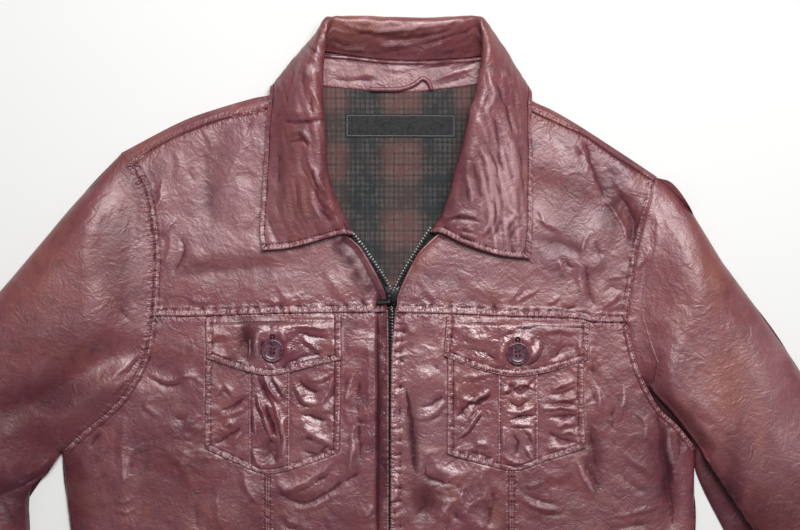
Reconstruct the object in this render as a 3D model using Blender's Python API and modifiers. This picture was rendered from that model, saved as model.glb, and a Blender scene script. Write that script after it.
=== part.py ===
"""Waist-length leather jacket laid on its back, open at the collar, +Y towards the collar."""

import math

import bmesh
import bpy
import numpy as np

MM = 0.001
NAME = "leather_jacket"

# Walls and the space between pieces, mm.
LEATHER = 1.2
LINING = 1.0
YOKE_WALL = 1.0
COLLAR_WALL = 2.2
GAP = 0.3

# Heights of the laid jacket's outer surface, mm.
EDGE_Z = 3.2
SHOULDER_RISE = 2.8
BODY_Z = 10.6
NECK_LIFT = 3.2
LINING_RISE = 112.0
SLEEVE_PUFF = 22.0
CUFF_PUFF = 11.0

BUTTON_RADIUS = 10.0
PULL_AXIS = (1.0, -1.0, 15.0)

# Plan curves, mm: (x, y). The first is the one of the wearer's right, which lies at -X.
TOP_LEFT = [
    (-239.8, 130.1), (-188, 157.2), (-154, 169.6), (-122, 178.6), (-104, 182.5), (-84, 196),
    (-64, 219.5),
]
SHOULDER_SEAM_LEFT = [
    (-229.5, 119.5), (-210.6, 134.5), (-188, 146), (-149.6, 160.5), (-118, 167), (-95, 178),
    (-73, 203),
]
ARM_HOLE_LEFT = [(-229.5, 119.5), (-217.5, 95), (-211.7, 62.3), (-209.5, 31), (-212, -14.2)]
ARM_PIT_LEFT = [(-212, -14.2), (-219.6, -52.6), (-239.9, -88.7), (-276.1, -120.4), (-292.9, -136.1)]
FLANK_LEFT = [(-292.9, -136.1), (-290.7, -161.1), (-285.5, -203.6), (-275, -300), (-266, -385)]
SLEEVE_OUT_LEFT = [
    (-239.8, 130.1), (-278.3, 89.4), (-346, 9.7), (-416.8, -75.2), (-452, -160), (-459.3, -230.1),
    (-455, -386),
]
SLEEVE_IN_LEFT = [(-292.9, -136.1), (-306, -155), (-321.3, -172), (-321, -230), (-325, -310), (-333, -386)]
NECK_LEFT = [(-41, 58), (-51, 77), (-61, 101), (-66, 127), (-69, 155), (-73, 203)]
FRONT_LEFT = [(-3, -10.9), (-4.8, 7.3), (-19.2, 30.4), (-28.8, 43.8), (-41, 58)]

TOP_RIGHT = [(236, 109), (211.2, 125.7), (166, 154.9), (143, 168), (122, 178), (104, 196), (86, 217)]
SHOULDER_SEAM_RIGHT = [
    (233, 106), (200, 126.5), (170.5, 146.2), (136.6, 161.7), (118, 171), (102, 184), (91, 203),
]
ARM_HOLE_RIGHT = [(233, 106), (230.1, 89.4), (220.2, 55.8), (214.2, 17.7), (209, -20)]
ARM_PIT_RIGHT = [(209, -20), (219, -59.3), (236, -93.2), (254, -111.2), (270.8, -131.6)]
FLANK_RIGHT = [(270.8, -131.6), (269.5, -161.1), (270.8, -203.6), (264, -300), (257, -385)]
SLEEVE_OUT_RIGHT = [
    (236, 109), (255.1, 97.4), (296.9, 31), (346.7, -36.7), (406.2, -132.8), (561.4, -382.3),
]
SLEEVE_IN_RIGHT = [
    (270.8, -131.6), (272, -155), (295.6, -203.6), (335.4, -274.4), (406.2, -385), (464, -443.2),
]
SLEEVE_FOLD = [
    (224.8, -70.8), (243.3, -88.5), (259.3, -107.8), (289, -151.3), (323.6, -203.6), (362, -261.1),
    (462, -424),
]
NECK_RIGHT = [(42, 59.5), (58, 88), (66, 114), (74, 140), (81, 165), (91, 203)]
FRONT_RIGHT = [(5, -11), (6.1, 5.4), (18.1, 31.3), (26.7, 44.8), (42, 59.5)]

YOKE_LEFT = [(-212, -14.2), (-165.5, -14.2), (-109.3, -12.2)]
YOKE_CENTRE_LEFT = [(-109.3, -12.2), (-60, -11.4), (-3, -10.9)]
YOKE_RIGHT = [(209, -20), (143.4, -16.8), (106.9, -15.2)]
YOKE_CENTRE_RIGHT = [(106.9, -15.2), (53.1, -12.4), (5, -11)]
EDGE_LEFT = [(-3, -10.9), (-2.7, -200), (-1.6, -385)]
EDGE_RIGHT = [(5, -11), (3.4, -70), (1.2, -200), (1.6, -385)]
HEM_Y = -430.0
BAND_Y = -385.0
BACK_SEAM = 6
NECK_BACK = [(-64, 219.5), (-38, 217.3), (-10, 214), (14, 212.8), (40, 213.3), (62, 214.5), (86, 217)]

# Pockets and flaps, mm: (x, y), anticlockwise from the upper left.
POCKET_LEFT = {
    "left": [(-163, -24), (-164.3, -80), (-164.8, -131.6)],
    "bottom": [(-164.8, -131.6), (-138.3, -144), (-110.1, -154.6), (-75.2, -146.3), (-45.8, -135)],
    "right": [(-44.6, -24), (-44.7, -80), (-45.8, -135)],
    "strip": (-125.5, -89.7),
    "button": (-104.6, -44.7),
}
POCKET_RIGHT = {
    "left": [(50.2, -24), (50, -80), (49.6, -136.3)],
    "bottom": [(49.6, -136.3), (75.7, -144), (109.6, -151.3), (140, -142), (172.6, -131)],
    "right": [(172, -26), (170.5, -80), (172.6, -131)],
    "strip": (95.0, 130.0),
    "button": (112.0, -47.3),
}
FLAP_LEFT = {
    "top": [(-164.3, -15.6), (-104, -13.6), (-44.6, -12.4)],
    "left": [(-163.2, -51.3), (-164.3, -15.6)],
    "bottom": [(-163.2, -51.3), (-138.3, -60.4), (-106.5, -66.8), (-75.2, -60.4), (-43.5, -52.6)],
    "right": [(-43.5, -52.6), (-44.6, -12.4)],
}
FLAP_RIGHT = {
    "top": [(49.6, -13.8), (112, -16.8), (175.1, -20)],
    "left": [(46.7, -49.5), (49.6, -13.8)],
    "bottom": [(46.7, -49.5), (72.1, -59.7), (106.5, -67.5), (137.4, -64), (175.5, -52.6)],
    "right": [(175.5, -52.6), (175.1, -20)],
}

# Largest folds, mm: x0, y0, x1, y1, half width, height.
FOLDS = [
    (-236, -40, -350, -108, 20, -5.0),
    (-232, -66, -306, -128, 18, 4.0),
    (-300, -150, -378, -190, 20, -4.0),
    (-345, 0, -430, -110, 26, 3.0),
    (-372, -230, -402, -360, 28, -4.0),
    (176, 140, 216, 64, 16, -2.6),
    (236, -118, 250, -215, 15, -2.4),
    (170, 20, 186, 70, 16, 1.6),
    (-226, -70, -185, -62, 18, -1.4),
    (-60, -230, -74, -340, 18, 1.4),
    (-190, -210, -214, -330, 24, -1.8),
    (170, -200, 196, -340, 24, 1.6),
    (60, -220, 70, -350, 20, -1.4),
    (300, 10, 372, -120, 24, -3.0),
    (372, -150, 470, -310, 26, 3.0),
]

# Collar lines from front to back and round, mm: x, y, z of the neck seam, inner side, roll, upper fall, lower
# fall and free edge. Their surface is the outer one, which faces down where the fall lies under the neck.
COLLAR = [
    [
        (-41, 58, 11.0), (-33.5, 58, 14), (-44, 58, 17.5),
        (-66, 52, 18.5), (-92, 45.5, 18.5), (-114, 43.8, 17.5),
    ],
    [
        (-51, 77, 11.6), (-43.5, 80.5, 19), (-52, 80, 24.5),
        (-70, 76, 24), (-94, 68, 20.5), (-116.2, 60, 16.5),
    ],
    [(-61, 101, 12), (-52.6, 103, 23.5), (-60, 103, 30), (-76, 101, 28), (-96, 97, 22), (-114.2, 93, 15)],
    [
        (-66, 127, 12.2), (-56.4, 127, 26.5), (-63.5, 127, 33.5),
        (-78, 127, 31), (-96, 127, 23.5), (-112.2, 127, 14.8),
    ],
    [
        (-69, 155, 12.2), (-57.5, 155, 28), (-65, 155, 35.5),
        (-79, 155, 32), (-95.5, 155, 24), (-110.8, 155, 14.6),
    ],
    [
        (-72, 184, 12.4), (-59.3, 190, 29), (-66.5, 191, 36.5),
        (-79, 187, 33), (-93, 181, 25), (-108.5, 175, 14.6),
    ],
    [
        (-73, 203, 12.4), (-58.5, 215, 29), (-64, 222, 35),
        (-76, 211, 30), (-90, 198, 22), (-107.6, 184.5, 12.6),
    ],
    [
        (-66, 219, 10.5), (-56.5, 237, 28), (-58.5, 246, 27),
        (-68, 233, 20), (-85, 214.5, 13), (-107.8, 188, 6),
    ],
    [(-57, 220, 8), (-51, 244, 26), (-50.5, 249.8, 22), (-62, 240, 8), (-81, 213.5, 0), (-105.8, 183, 0)],
    [(-48, 218.8, 7.6), (-44, 243.5, 25), (-42, 250.1, 20), (-47, 245, 6.5), (-58, 227, 0), (-82, 178, 0)],
    [(-38, 217.6, 7.2), (-36, 243, 24), (-35, 250.2, 18.5), (-38, 246, 6), (-43, 231, 0), (-62, 177, 0)],
    [(-10, 214.3, 6.9), (-10, 242, 23), (-10, 249.8, 17), (-10, 246, 5), (-11, 232, 0), (-20, 175.5, 0)],
    [(14, 213.1, 6.9), (14, 241.5, 23), (14, 249.3, 17), (14, 246, 5), (14, 232, 0), (14, 175, 0)],
    [(40, 213.6, 6.9), (41, 242, 23), (42, 249.5, 17), (42, 246, 5), (40, 232, 0), (46, 175.5, 0)],
    [(62, 214.9, 7.2), (62, 243, 24), (61, 250, 18.5), (64, 245, 6), (68, 230, 0), (84, 176.5, 0)],
    [(71, 215.8, 7.6), (69, 243.3, 25), (67, 250.2, 20), (73, 244, 6.5), (84, 225, 0), (102, 177.5, 0)],
    [(79, 217, 8), (75, 243.5, 26), (74.5, 249.5, 22), (86, 239, 8), (105, 212, 0), (122.5, 180.5, 0)],
    [(88, 216.5, 10.5), (80.5, 236, 28), (82, 245.5, 27), (93, 232, 20), (107, 213, 13), (124, 185, 6)],
    [(91, 203, 12.4), (80, 214, 29), (85, 221, 35), (96, 211, 30), (109, 198, 22), (124.4, 181, 12.6)],
    [(89, 186, 12.4), (76, 190, 29), (83, 190, 36), (94, 186, 33), (109, 181, 25), (124.3, 172, 14.6)],
    [
        (81, 165, 12.2), (68.5, 165, 28.5), (76, 165, 35.5),
        (90, 163, 32), (108, 160, 24.5), (124.6, 157, 14.6),
    ],
    [(74, 140, 12.2), (63.7, 140, 27), (71, 140, 34), (87, 138, 31), (107, 134, 24), (125.6, 130, 14.8)],
    [(66, 114, 12), (56.5, 113, 24), (64, 112, 30.5), (82, 109, 28.5), (105, 103, 22.5), (125.8, 98, 15)],
    [(58, 88, 11.6), (50, 88, 19.5), (57, 86.5, 25), (77, 81, 24.5), (103, 74, 21), (125.8, 68, 16.5)],
    [(42, 59.5, 11), (35, 60, 14), (45, 59, 17.5), (66, 49, 19), (96, 39.5, 19), (123, 36.5, 17.5)],
]

BROWN = (0.150, 0.052, 0.056)
BACK_BROWN = (0.120, 0.044, 0.048)
PLAID = (0.110, 0.070, 0.070)
GUNMETAL = (0.060, 0.058, 0.060)
HORN = (0.180, 0.062, 0.085)
BLACK = (0.020, 0.020, 0.022)


def arc_samples(points, fractions):
    """Points of a smooth curve through the given ones, at these shares of its length."""
    points = np.array(points, float)
    ends = np.vstack([2 * points[0] - points[1], points, 2 * points[-1] - points[-2]])
    steps = np.linspace(0, 1, 9)[:-1, None]
    fine = []
    for a, b, c, d in zip(ends, ends[1:], ends[2:], ends[3:]):
        bend = (2 * a - 5 * b + 4 * c - d) * steps**2 + (3 * b - a - 3 * c + d) * steps**3
        fine.append(b + 0.5 * ((c - a) * steps + bend))
    fine = np.vstack(fine + [points[-1:]])
    run = np.concatenate([[0], np.cumsum(np.linalg.norm(np.diff(fine, axis=0), axis=1))])
    where = np.asarray(fractions) * run[-1]
    return np.stack([np.interp(where, run, axis) for axis in fine.T], axis=1)


def curve(points, count):
    return arc_samples(points, np.linspace(0, 1, count + 1))


def join(*curves):
    return np.vstack([curves[0]] + [piece[1:] for piece in curves[1:]])


def line(start, end, count):
    return np.linspace(np.array(start, float), np.array(end, float), count + 1)


def smooth(value):
    value = np.clip(value, 0, 1)
    return value * value * (3 - 2 * value)


def round_edge(value):
    value = np.clip(value, 0, 1)
    return np.sqrt(1 - (1 - value) ** 2)


def nearest(points, path):
    """Distance to a path, and that distance with the sign of its right-hand side."""
    start = path[:-1]
    along = path[1:] - start
    away = points[..., None, :] - start
    share = np.clip((away * along).sum(-1) / (along * along).sum(-1), 0, 1)
    gap = away - share[..., None] * along
    distance = np.linalg.norm(gap, axis=-1)
    best = distance.argmin(-1)[..., None]
    cross = along[:, 0] * away[..., 1] - along[:, 1] * away[..., 0]
    sign = -np.sign(np.take_along_axis(cross, best, -1)[..., 0])
    distance = np.take_along_axis(distance, best, -1)[..., 0]
    return distance, distance * sign


SIDES = {
    "left": {
        "top": join(
            curve(TOP_LEFT[::-1], 10),
            curve(SLEEVE_OUT_LEFT, 12),
            line((-455, -386), (-452.2, -434), 1),
        ),
        "inner": join(curve(SLEEVE_IN_LEFT, 10), line((-333, -386), (-337.2, -434), 1)),
        "flank": join(curve(FLANK_LEFT, 6), line((-266, -385), (-262, -430), 1)),
        "hole": join(
            line((-239.8, 130.1), (-229.5, 119.5), 1),
            curve(ARM_HOLE_LEFT, 8),
            curve(ARM_PIT_LEFT, 8),
        ),
        "gap": [(-302, -200), (-302, -450)],
        "turn": 1.0,
    },
    "right": {
        "top": join(
            curve(TOP_RIGHT[::-1], 10),
            curve(SLEEVE_OUT_RIGHT, 12),
            line((561.4, -382.3), (586.8, -423), 1),
        ),
        "inner": join(curve(SLEEVE_IN_RIGHT, 10), line((464, -443.2), (489.4, -484.1), 1)),
        "flank": join(curve(FLANK_RIGHT, 6), line((257, -385), (255, -430), 1)),
        "hole": join(line((236, 109), (233, 106), 1), curve(ARM_HOLE_RIGHT, 8), curve(ARM_PIT_RIGHT, 8)),
        "gap": [(271.4, -150), (283, -203), (300, -274), (330, -460)],
        "turn": -1.0,
    },
}
FOLD_PATH = curve(SLEEVE_FOLD, 12)


def lift(points, start=146.0):
    """How far the collar's hidden fall lifts the back of the neck. The lining rises before the yoke does."""
    x, y = points[..., 0], points[..., 1]
    across = smooth((x + 148) / 38) * smooth((166 - x) / 38)
    return NECK_LIFT * across * smooth((y - start) / 24)


def fold_heights(points):
    total = np.zeros(points.shape[:-1])
    for x0, y0, x1, y1, half, height in FOLDS:
        start, along = np.array([x0, y0], float), np.array([x1 - x0, y1 - y0], float)
        away = points - start
        share = (away * along).sum(-1) / (along @ along)
        off = (away[..., 0] * along[1] - away[..., 1] * along[0]) / np.linalg.norm(along)
        taper = smooth((share + 0.15) / 0.35) * smooth((1.15 - share) / 0.35)
        total = total + height * taper * np.exp(-((off / half) ** 2) * 2)
    return total


def side_height(points, side, name):
    x, y = points[..., 0], points[..., 1]
    to_top, _ = nearest(points, side["top"])
    to_inner, _ = nearest(points, side["inner"])
    to_flank, _ = nearest(points, side["flank"])
    to_hole, _ = nearest(points, side["hole"])
    _, past_hole = nearest(points, np.vstack([side["hole"], side["gap"]]))
    raised = lift(points)
    edge = EDGE_Z + raised + SHOULDER_RISE * np.clip((238 - np.abs(x)) / 130, 0, 1)
    body = edge + (BODY_Z + 0.5 * raised - edge) * round_edge(to_top / 32)
    body = EDGE_Z + (body - EDGE_Z) * round_edge(to_flank / 26)
    puff = SLEEVE_PUFF + (CUFF_PUFF - SLEEVE_PUFF) * smooth((-y - 220) / 200)
    arm = puff * round_edge(to_top / 40)
    blend = 60.0
    if name == "left":
        arm = EDGE_Z + arm * round_edge(to_inner / 40)
    else:
        to_fold, past_fold = nearest(points, FOLD_PATH)
        rising = 0.8 * to_inner / (to_inner + to_fold + 0.01)
        arm = EDGE_Z + arm * np.where(past_fold < 0, 0.8 + 0.2 * round_edge(to_fold / 24), rising)
        blend = 16 + 44 * smooth((y + 90) / 90)
    share = smooth(np.where(side["turn"] * past_hole > 0, to_hole, 0) / blend)
    height = body * (1 - share) + arm * share
    room = smooth((height - EDGE_Z - raised) / 5)
    return height + room * fold_heights(points)


def height(points):
    points = np.asarray(points, float)
    left = side_height(points, SIDES["left"], "left")
    right = side_height(points, SIDES["right"], "right")
    share = smooth((points[..., 0] + 6) / 12)
    return left * (1 - share) + right * share


def surface(points, offset=0.0):
    """Points on the jacket's front, raised so that they stand this far off its face."""
    points = np.asarray(points, float)
    z = height(points)
    slope_x = (height(points + (0.5, 0)) - height(points - (0.5, 0))).clip(-2.5, 2.5)
    slope_y = (height(points + (0, 0.5)) - height(points - (0, 0.5))).clip(-2.5, 2.5)
    steep = np.sqrt(1 + slope_x**2 + slope_y**2).clip(1, 2.0)
    return np.concatenate([points, (z + np.asarray(offset, float) * steep)[..., None]], axis=-1)


def patch(bottom, right, top, left):
    """A grid between four curves: bottom and top run to +X, left and right run to +Y."""
    across, up = len(bottom), len(left)
    u = np.linalg.norm(np.diff((bottom + top) / 2, axis=0), axis=1)
    u = (np.concatenate([[0], np.cumsum(u)]) / u.sum())[None, :, None]
    v = np.linalg.norm(np.diff((left + right) / 2, axis=0), axis=1)
    v = (np.concatenate([[0], np.cumsum(v)]) / v.sum())[:, None, None]
    ruled = (1 - v) * bottom[None] + v * top[None] + (1 - u) * left[:, None] + u * right[:, None]
    corners = (1 - u) * (1 - v) * bottom[0] + u * (1 - v) * bottom[-1]
    corners = corners + (1 - u) * v * top[0] + u * v * top[-1]
    grid = ruled - corners
    assert grid.shape == (up, across, 2)
    return grid


def inset(grid, amount=GAP / 2):
    """The grid with its rim drawn in, which leaves the gap at a seam."""
    rows, cols = grid.shape[:2]
    ring = [(0, j) for j in range(cols)] + [(i, cols - 1) for i in range(1, rows)]
    ring += [(rows - 1, j) for j in range(cols - 2, -1, -1)] + [(i, 0) for i in range(rows - 2, 0, -1)]
    points = np.array([grid[i, j] for i, j in ring])
    ahead = np.roll(points, -1, axis=0) - points
    ahead /= np.linalg.norm(ahead, axis=1, keepdims=True) + 1e-9
    behind = np.roll(ahead, 1, axis=0)
    inward = np.stack([-ahead[:, 1] - behind[:, 1], ahead[:, 0] + behind[:, 0]], axis=1)
    length = np.linalg.norm(inward, axis=1, keepdims=True)
    inward = inward / length * np.minimum(2 / length, 2.5)
    area = (points[:, 0] * np.roll(points[:, 1], -1) - np.roll(points[:, 0], -1) * points[:, 1]).sum()
    moved = grid.copy()
    for (i, j), move in zip(ring, inward * math.copysign(amount, area)):
        moved[i, j] = grid[i, j] + move
    return moved


def material(name, colour, roughness=0.5, metallic=0.0):
    found = bpy.data.materials.get(name)
    if found:
        return found
    made = bpy.data.materials.new(name)
    made.use_nodes = True
    shader = made.node_tree.nodes["Principled BSDF"]
    shader.inputs["Base Color"].default_value = (*colour, 1)
    shader.inputs["Roughness"].default_value = roughness
    shader.inputs["Metallic"].default_value = metallic
    made.diffuse_color = (*colour, 1)
    return made


MATERIALS = {
    "leather": (BROWN, 0.42, 0.0),
    "leather_back": (BACK_BROWN, 0.5, 0.0),
    "lining": (PLAID, 0.8, 0.0),
    "label_weave": (BLACK, 0.7, 0.0),
    "zip_tape": (BLACK, 0.55, 0.3),
    "gunmetal": (GUNMETAL, 0.3, 1.0),
    "horn": (HORN, 0.25, 0.0),
}


def add_object(name, mesh, slot):
    mesh.materials.append(material(slot, *MATERIALS[slot]))
    made = bpy.data.objects.new(name, mesh)
    bpy.data.collections[NAME].objects.link(made)
    return made


def sheet(name, outer, inner, slot="leather"):
    """A closed wall: a grid moved onto the inner points and extruded onto the outer ones."""
    rows, cols = outer.shape[:2]
    bm = bmesh.new()
    bmesh.ops.create_grid(bm, x_segments=cols - 1, y_segments=rows - 1, size=0.5)

    def order(vert):
        return (round(vert.co.y, 5), round(vert.co.x, 5))

    lower = sorted(bm.verts, key=order)
    made = bmesh.ops.extrude_face_region(bm, geom=bm.faces[:])
    upper = sorted((part for part in made["geom"] if isinstance(part, bmesh.types.BMVert)), key=order)
    for verts, points in ((lower, inner), (upper, outer)):
        for vert, point in zip(verts, points.reshape(-1, 3)):
            vert.co = point * MM
    bmesh.ops.triangulate(bm, faces=bm.faces[:])
    if bm.calc_volume(signed=True) < 0:
        bmesh.ops.reverse_faces(bm, faces=bm.faces[:])
    mesh = bpy.data.meshes.new(name)
    bm.to_mesh(mesh)
    bm.free()
    return add_object(name, mesh, slot)


def front_sheet(name, grid, offset=0.0, wall=LEATHER, slot="leather"):
    """A piece of the front, whose outer face is this far out from the common surface."""
    grid = inset(grid)
    inner = surface(grid, np.asarray(offset) - wall)
    inner[..., 2] = np.maximum(inner[..., 2], lift(grid) + LEATHER + GAP)
    return sheet(name, surface(grid, offset), inner, slot)


def flat_sheet(name, grid, base=0.0, wall=LEATHER, slot="leather_back", start=146.0):
    grid = inset(grid)
    floor = lift(grid, start) + base
    lower = np.concatenate([grid, floor[..., None]], axis=-1)
    return sheet(name, lower + (0, 0, wall), lower, slot)


def bent_sheet(name, points, wall, slot="leather"):
    """A sheet given by its outer surface, its wall on the far side from the surface normal."""
    along = np.gradient(points, axis=0)
    across = np.gradient(points, axis=1)
    normal = np.cross(along, across)
    normal /= np.linalg.norm(normal, axis=-1, keepdims=True) + 1e-9
    return sheet(name, points, points - normal * wall, slot)


def loft(name, rings, slot):
    """A closed solid through rings of equal length, with flat ends."""
    bm = bmesh.new()
    verts = [[bm.verts.new(point * MM) for point in ring] for ring in rings]
    count = len(rings[0])
    for first, second in zip(verts, verts[1:]):
        for k in range(count):
            bm.faces.new((first[k], first[(k + 1) % count], second[(k + 1) % count], second[k]))
    bm.faces.new(verts[0][::-1])
    bm.faces.new(verts[-1])
    bmesh.ops.triangulate(bm, faces=bm.faces[:])
    bmesh.ops.recalc_face_normals(bm, faces=bm.faces[:])
    mesh = bpy.data.meshes.new(name)
    bm.to_mesh(mesh)
    bm.free()
    return add_object(name, mesh, slot)


def body_fronts():
    yoke_left = patch(
        join(curve(YOKE_LEFT, 4), curve(YOKE_CENTRE_LEFT, 5)),
        join(curve(FRONT_LEFT, 3), curve(NECK_LEFT, 5)),
        curve(SHOULDER_SEAM_LEFT, 9),
        curve(ARM_HOLE_LEFT[::-1], 8),
    )
    front_sheet("front_yoke_left", yoke_left)
    yoke_right = patch(
        join(curve(YOKE_CENTRE_RIGHT[::-1], 5), curve(YOKE_RIGHT[::-1], 4)),
        curve(ARM_HOLE_RIGHT[::-1], 8),
        curve(SHOULDER_SEAM_RIGHT[::-1], 9),
        join(curve(FRONT_RIGHT, 3), curve(NECK_RIGHT, 5)),
    )
    front_sheet("front_yoke_right", yoke_right)
    graded = [0, 0.02, 0.08, 0.2, 0.42, 0.7, 1]
    seam_left = line((-109.3, BAND_Y), (-109.3, -12.2), 13)
    side_left = patch(
        arc_samples([(-266, BAND_Y), (-109.3, BAND_Y)], graded),
        seam_left,
        curve(YOKE_LEFT, 6),
        join(curve(FLANK_LEFT[::-1], 8), curve(ARM_PIT_LEFT[::-1], 5)),
    )
    front_sheet("front_side_left", side_left)
    centre_left = patch(
        line((-109.3, BAND_Y), (-1.6, BAND_Y), 5),
        curve(EDGE_LEFT[::-1], 13),
        curve(YOKE_CENTRE_LEFT, 5),
        seam_left,
    )
    front_sheet("front_centre_left", centre_left)
    seam_right = line((106.9, BAND_Y), (106.9, -15.2), 13)
    side_right = patch(
        arc_samples([(257, BAND_Y), (106.9, BAND_Y)], graded)[::-1],
        join(curve(FLANK_RIGHT[::-1], 8), curve(ARM_PIT_RIGHT[::-1], 5)),
        curve(YOKE_RIGHT[::-1], 6),
        seam_right,
    )
    front_sheet("front_side_right", side_right)
    centre_right = patch(
        line((1.6, BAND_Y), (106.9, BAND_Y), 5),
        seam_right,
        curve(YOKE_CENTRE_RIGHT[::-1], 5),
        curve(EDGE_RIGHT[::-1], 13),
    )
    front_sheet("front_centre_right", centre_right)


def waistband():
    graded = np.array([0, 0.015, 0.06, 0.14, 0.3, 0.5, 0.75, 1])
    left = patch(
        arc_samples([(-262, HEM_Y), (-1.6, HEM_Y)], graded),
        line((-1.6, HEM_Y), (-1.6, BAND_Y), 2),
        arc_samples([(-266, BAND_Y), (-1.6, BAND_Y)], graded),
        line((-262, HEM_Y), (-266, BAND_Y), 2),
    )
    front_sheet("waistband_front_left", left)
    right = patch(
        arc_samples([(255, HEM_Y), (1.6, HEM_Y)], graded)[::-1],
        line((255, HEM_Y), (257, BAND_Y), 2),
        arc_samples([(257, BAND_Y), (1.6, BAND_Y)], graded)[::-1],
        line((1.6, HEM_Y), (1.6, BAND_Y), 2),
    )
    front_sheet("waistband_front_right", right)
    back = patch(
        line((-262, HEM_Y), (255, HEM_Y), 3),
        line((255, HEM_Y), (257, BAND_Y), 1),
        line((-266, BAND_Y), (257, BAND_Y), 3),
        line((-262, HEM_Y), (-266, BAND_Y), 1),
    )
    flat_sheet("waistband_back", back)


def arm_hole(side):
    """The whole armhole seam, from the shoulder's tip to the armpit."""
    tip, hole, pit = {
        "left": (TOP_LEFT[0], ARM_HOLE_LEFT, ARM_PIT_LEFT),
        "right": (TOP_RIGHT[0], ARM_HOLE_RIGHT, ARM_PIT_RIGHT),
    }[side]
    return join(line(tip, hole[0], 1), curve(hole, 8), curve(pit, 5))


def back_panel():
    left = join(curve(FLANK_LEFT[::-1], 6), arm_hole("left")[:BACK_SEAM:-1])
    right = join(curve(FLANK_RIGHT[::-1], 6), arm_hole("right")[:BACK_SEAM:-1])
    grid = patch(line((-266, BAND_Y), (257, BAND_Y), 4), right, line(left[-1], right[-1], 4), left)
    flat_sheet("back_panel", grid)


def back_yoke():
    """The yoke lies flat under the shoulders, turns up at them and ends on the front."""
    tops, folds = [], []
    for top, seam in ((TOP_LEFT, SHOULDER_SEAM_LEFT), (TOP_RIGHT, SHOULDER_SEAM_RIGHT)):
        count = 9
        rim = curve(top, count)
        rim[0] += (rim[1] - rim[0]) / np.linalg.norm(rim[1] - rim[0]) * 0.4
        end = curve(seam, count)
        ahead = np.gradient(end, axis=0)
        ahead /= np.linalg.norm(ahead, axis=1, keepdims=True)
        square = np.stack([-ahead[:, 1], ahead[:, 0]], axis=1)
        end = end + square * np.sign(((rim - end) * square).sum(axis=1, keepdims=True)) * 0.25
        inward = (end - rim) / np.linalg.norm(end - rim, axis=1, keepdims=True)
        level = height(rim)
        width = np.linalg.norm(end - rim, axis=1)
        radius = np.minimum((level - lift(rim)) / 2, 0.5 * width).clip(1.6, 2.6)
        base = lift(rim + inward * radius[:, None])
        rows = []
        for angle in np.radians([-90, -45, 0, 45, 75]):
            out = rim + inward * (radius * (1 - math.cos(angle)))[:, None]
            into = rim + inward * (radius - (radius - YOKE_WALL) * math.cos(angle))[:, None]
            half = (level - base) / 2
            z = (level + base) / 2 + half * math.sin(angle)
            inner_z = (level + base) / 2 + (half - YOKE_WALL) * math.sin(angle)
            rows.append(np.concatenate([out, z[:, None], into, inner_z[:, None]], axis=1))
        for spot in (rim * 0.3 + end * 0.7, end):
            rows.append(np.hstack([surface(spot), surface(spot, -YOKE_WALL)]))
        folds.append(np.array(rows))
        tops.append(rows[0][:, :2])
    neck = curve(NECK_BACK, 9)
    neck[:, 1] -= 0.15
    upper = np.vstack([tops[0], neck[1:-1], tops[1][::-1]])
    left = arm_hole("left")[BACK_SEAM + 1 :: -1] + (GAP / 2, 0)
    left[-1] = upper[0]
    right = arm_hole("right")[BACK_SEAM + 1 :: -1] - (GAP / 2, 0)
    right[-1] = upper[-1]
    share = np.concatenate([[0], np.cumsum(np.abs(np.diff(upper[:, 0])))])
    lower = arc_samples([left[0] + (0, GAP / 2), right[0] + (0, GAP / 2)], share / share[-1])
    left[0], right[0] = lower[0], lower[-1]
    flat = patch(lower, right, upper, left)
    flat = np.concatenate([flat, lift(flat)[..., None], flat, lift(flat)[..., None] + YOKE_WALL], axis=-1)
    bm = bmesh.new()
    for points in [flat] + folds:
        rows, cols = points.shape[:2]
        verts = [[bm.verts.new(point[:3] * MM) for point in row] for row in points]
        for i in range(rows - 1):
            for j in range(cols - 1):
                bm.faces.new((verts[i][j], verts[i][j + 1], verts[i + 1][j + 1], verts[i + 1][j]))
    bmesh.ops.remove_doubles(bm, verts=bm.verts[:], dist=1e-5)
    bmesh.ops.recalc_face_normals(bm, faces=bm.faces[:])
    made = bmesh.ops.extrude_face_region(bm, geom=bm.faces[:])
    known = np.vstack([points.reshape(-1, 6) for points in [flat] + folds])
    for vert in [part for part in made["geom"] if isinstance(part, bmesh.types.BMVert)]:
        nearest_known = np.abs(known[:, :3] - np.array(vert.co) / MM).sum(axis=1).argmin()
        vert.co = known[nearest_known, 3:] * MM
    bmesh.ops.triangulate(bm, faces=bm.faces[:])
    bmesh.ops.recalc_face_normals(bm, faces=bm.faces[:])
    mesh = bpy.data.meshes.new("back_yoke")
    bm.to_mesh(mesh)
    bm.free()
    add_object("back_yoke", mesh, "leather_back")


def fold_share(outer, inner):
    """Where a row of the right sleeve crosses its fold."""
    shares = np.linspace(0.5, 0.98, 49)
    _, past = nearest(outer + (inner - outer) * shares[:, None], FOLD_PATH)
    crossed = (past > 0) & (np.interp(inner[1], (-75, -60), (1, 0)) > 0.5)
    return shares[crossed.argmax()] if crossed.any() else 0.8


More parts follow.
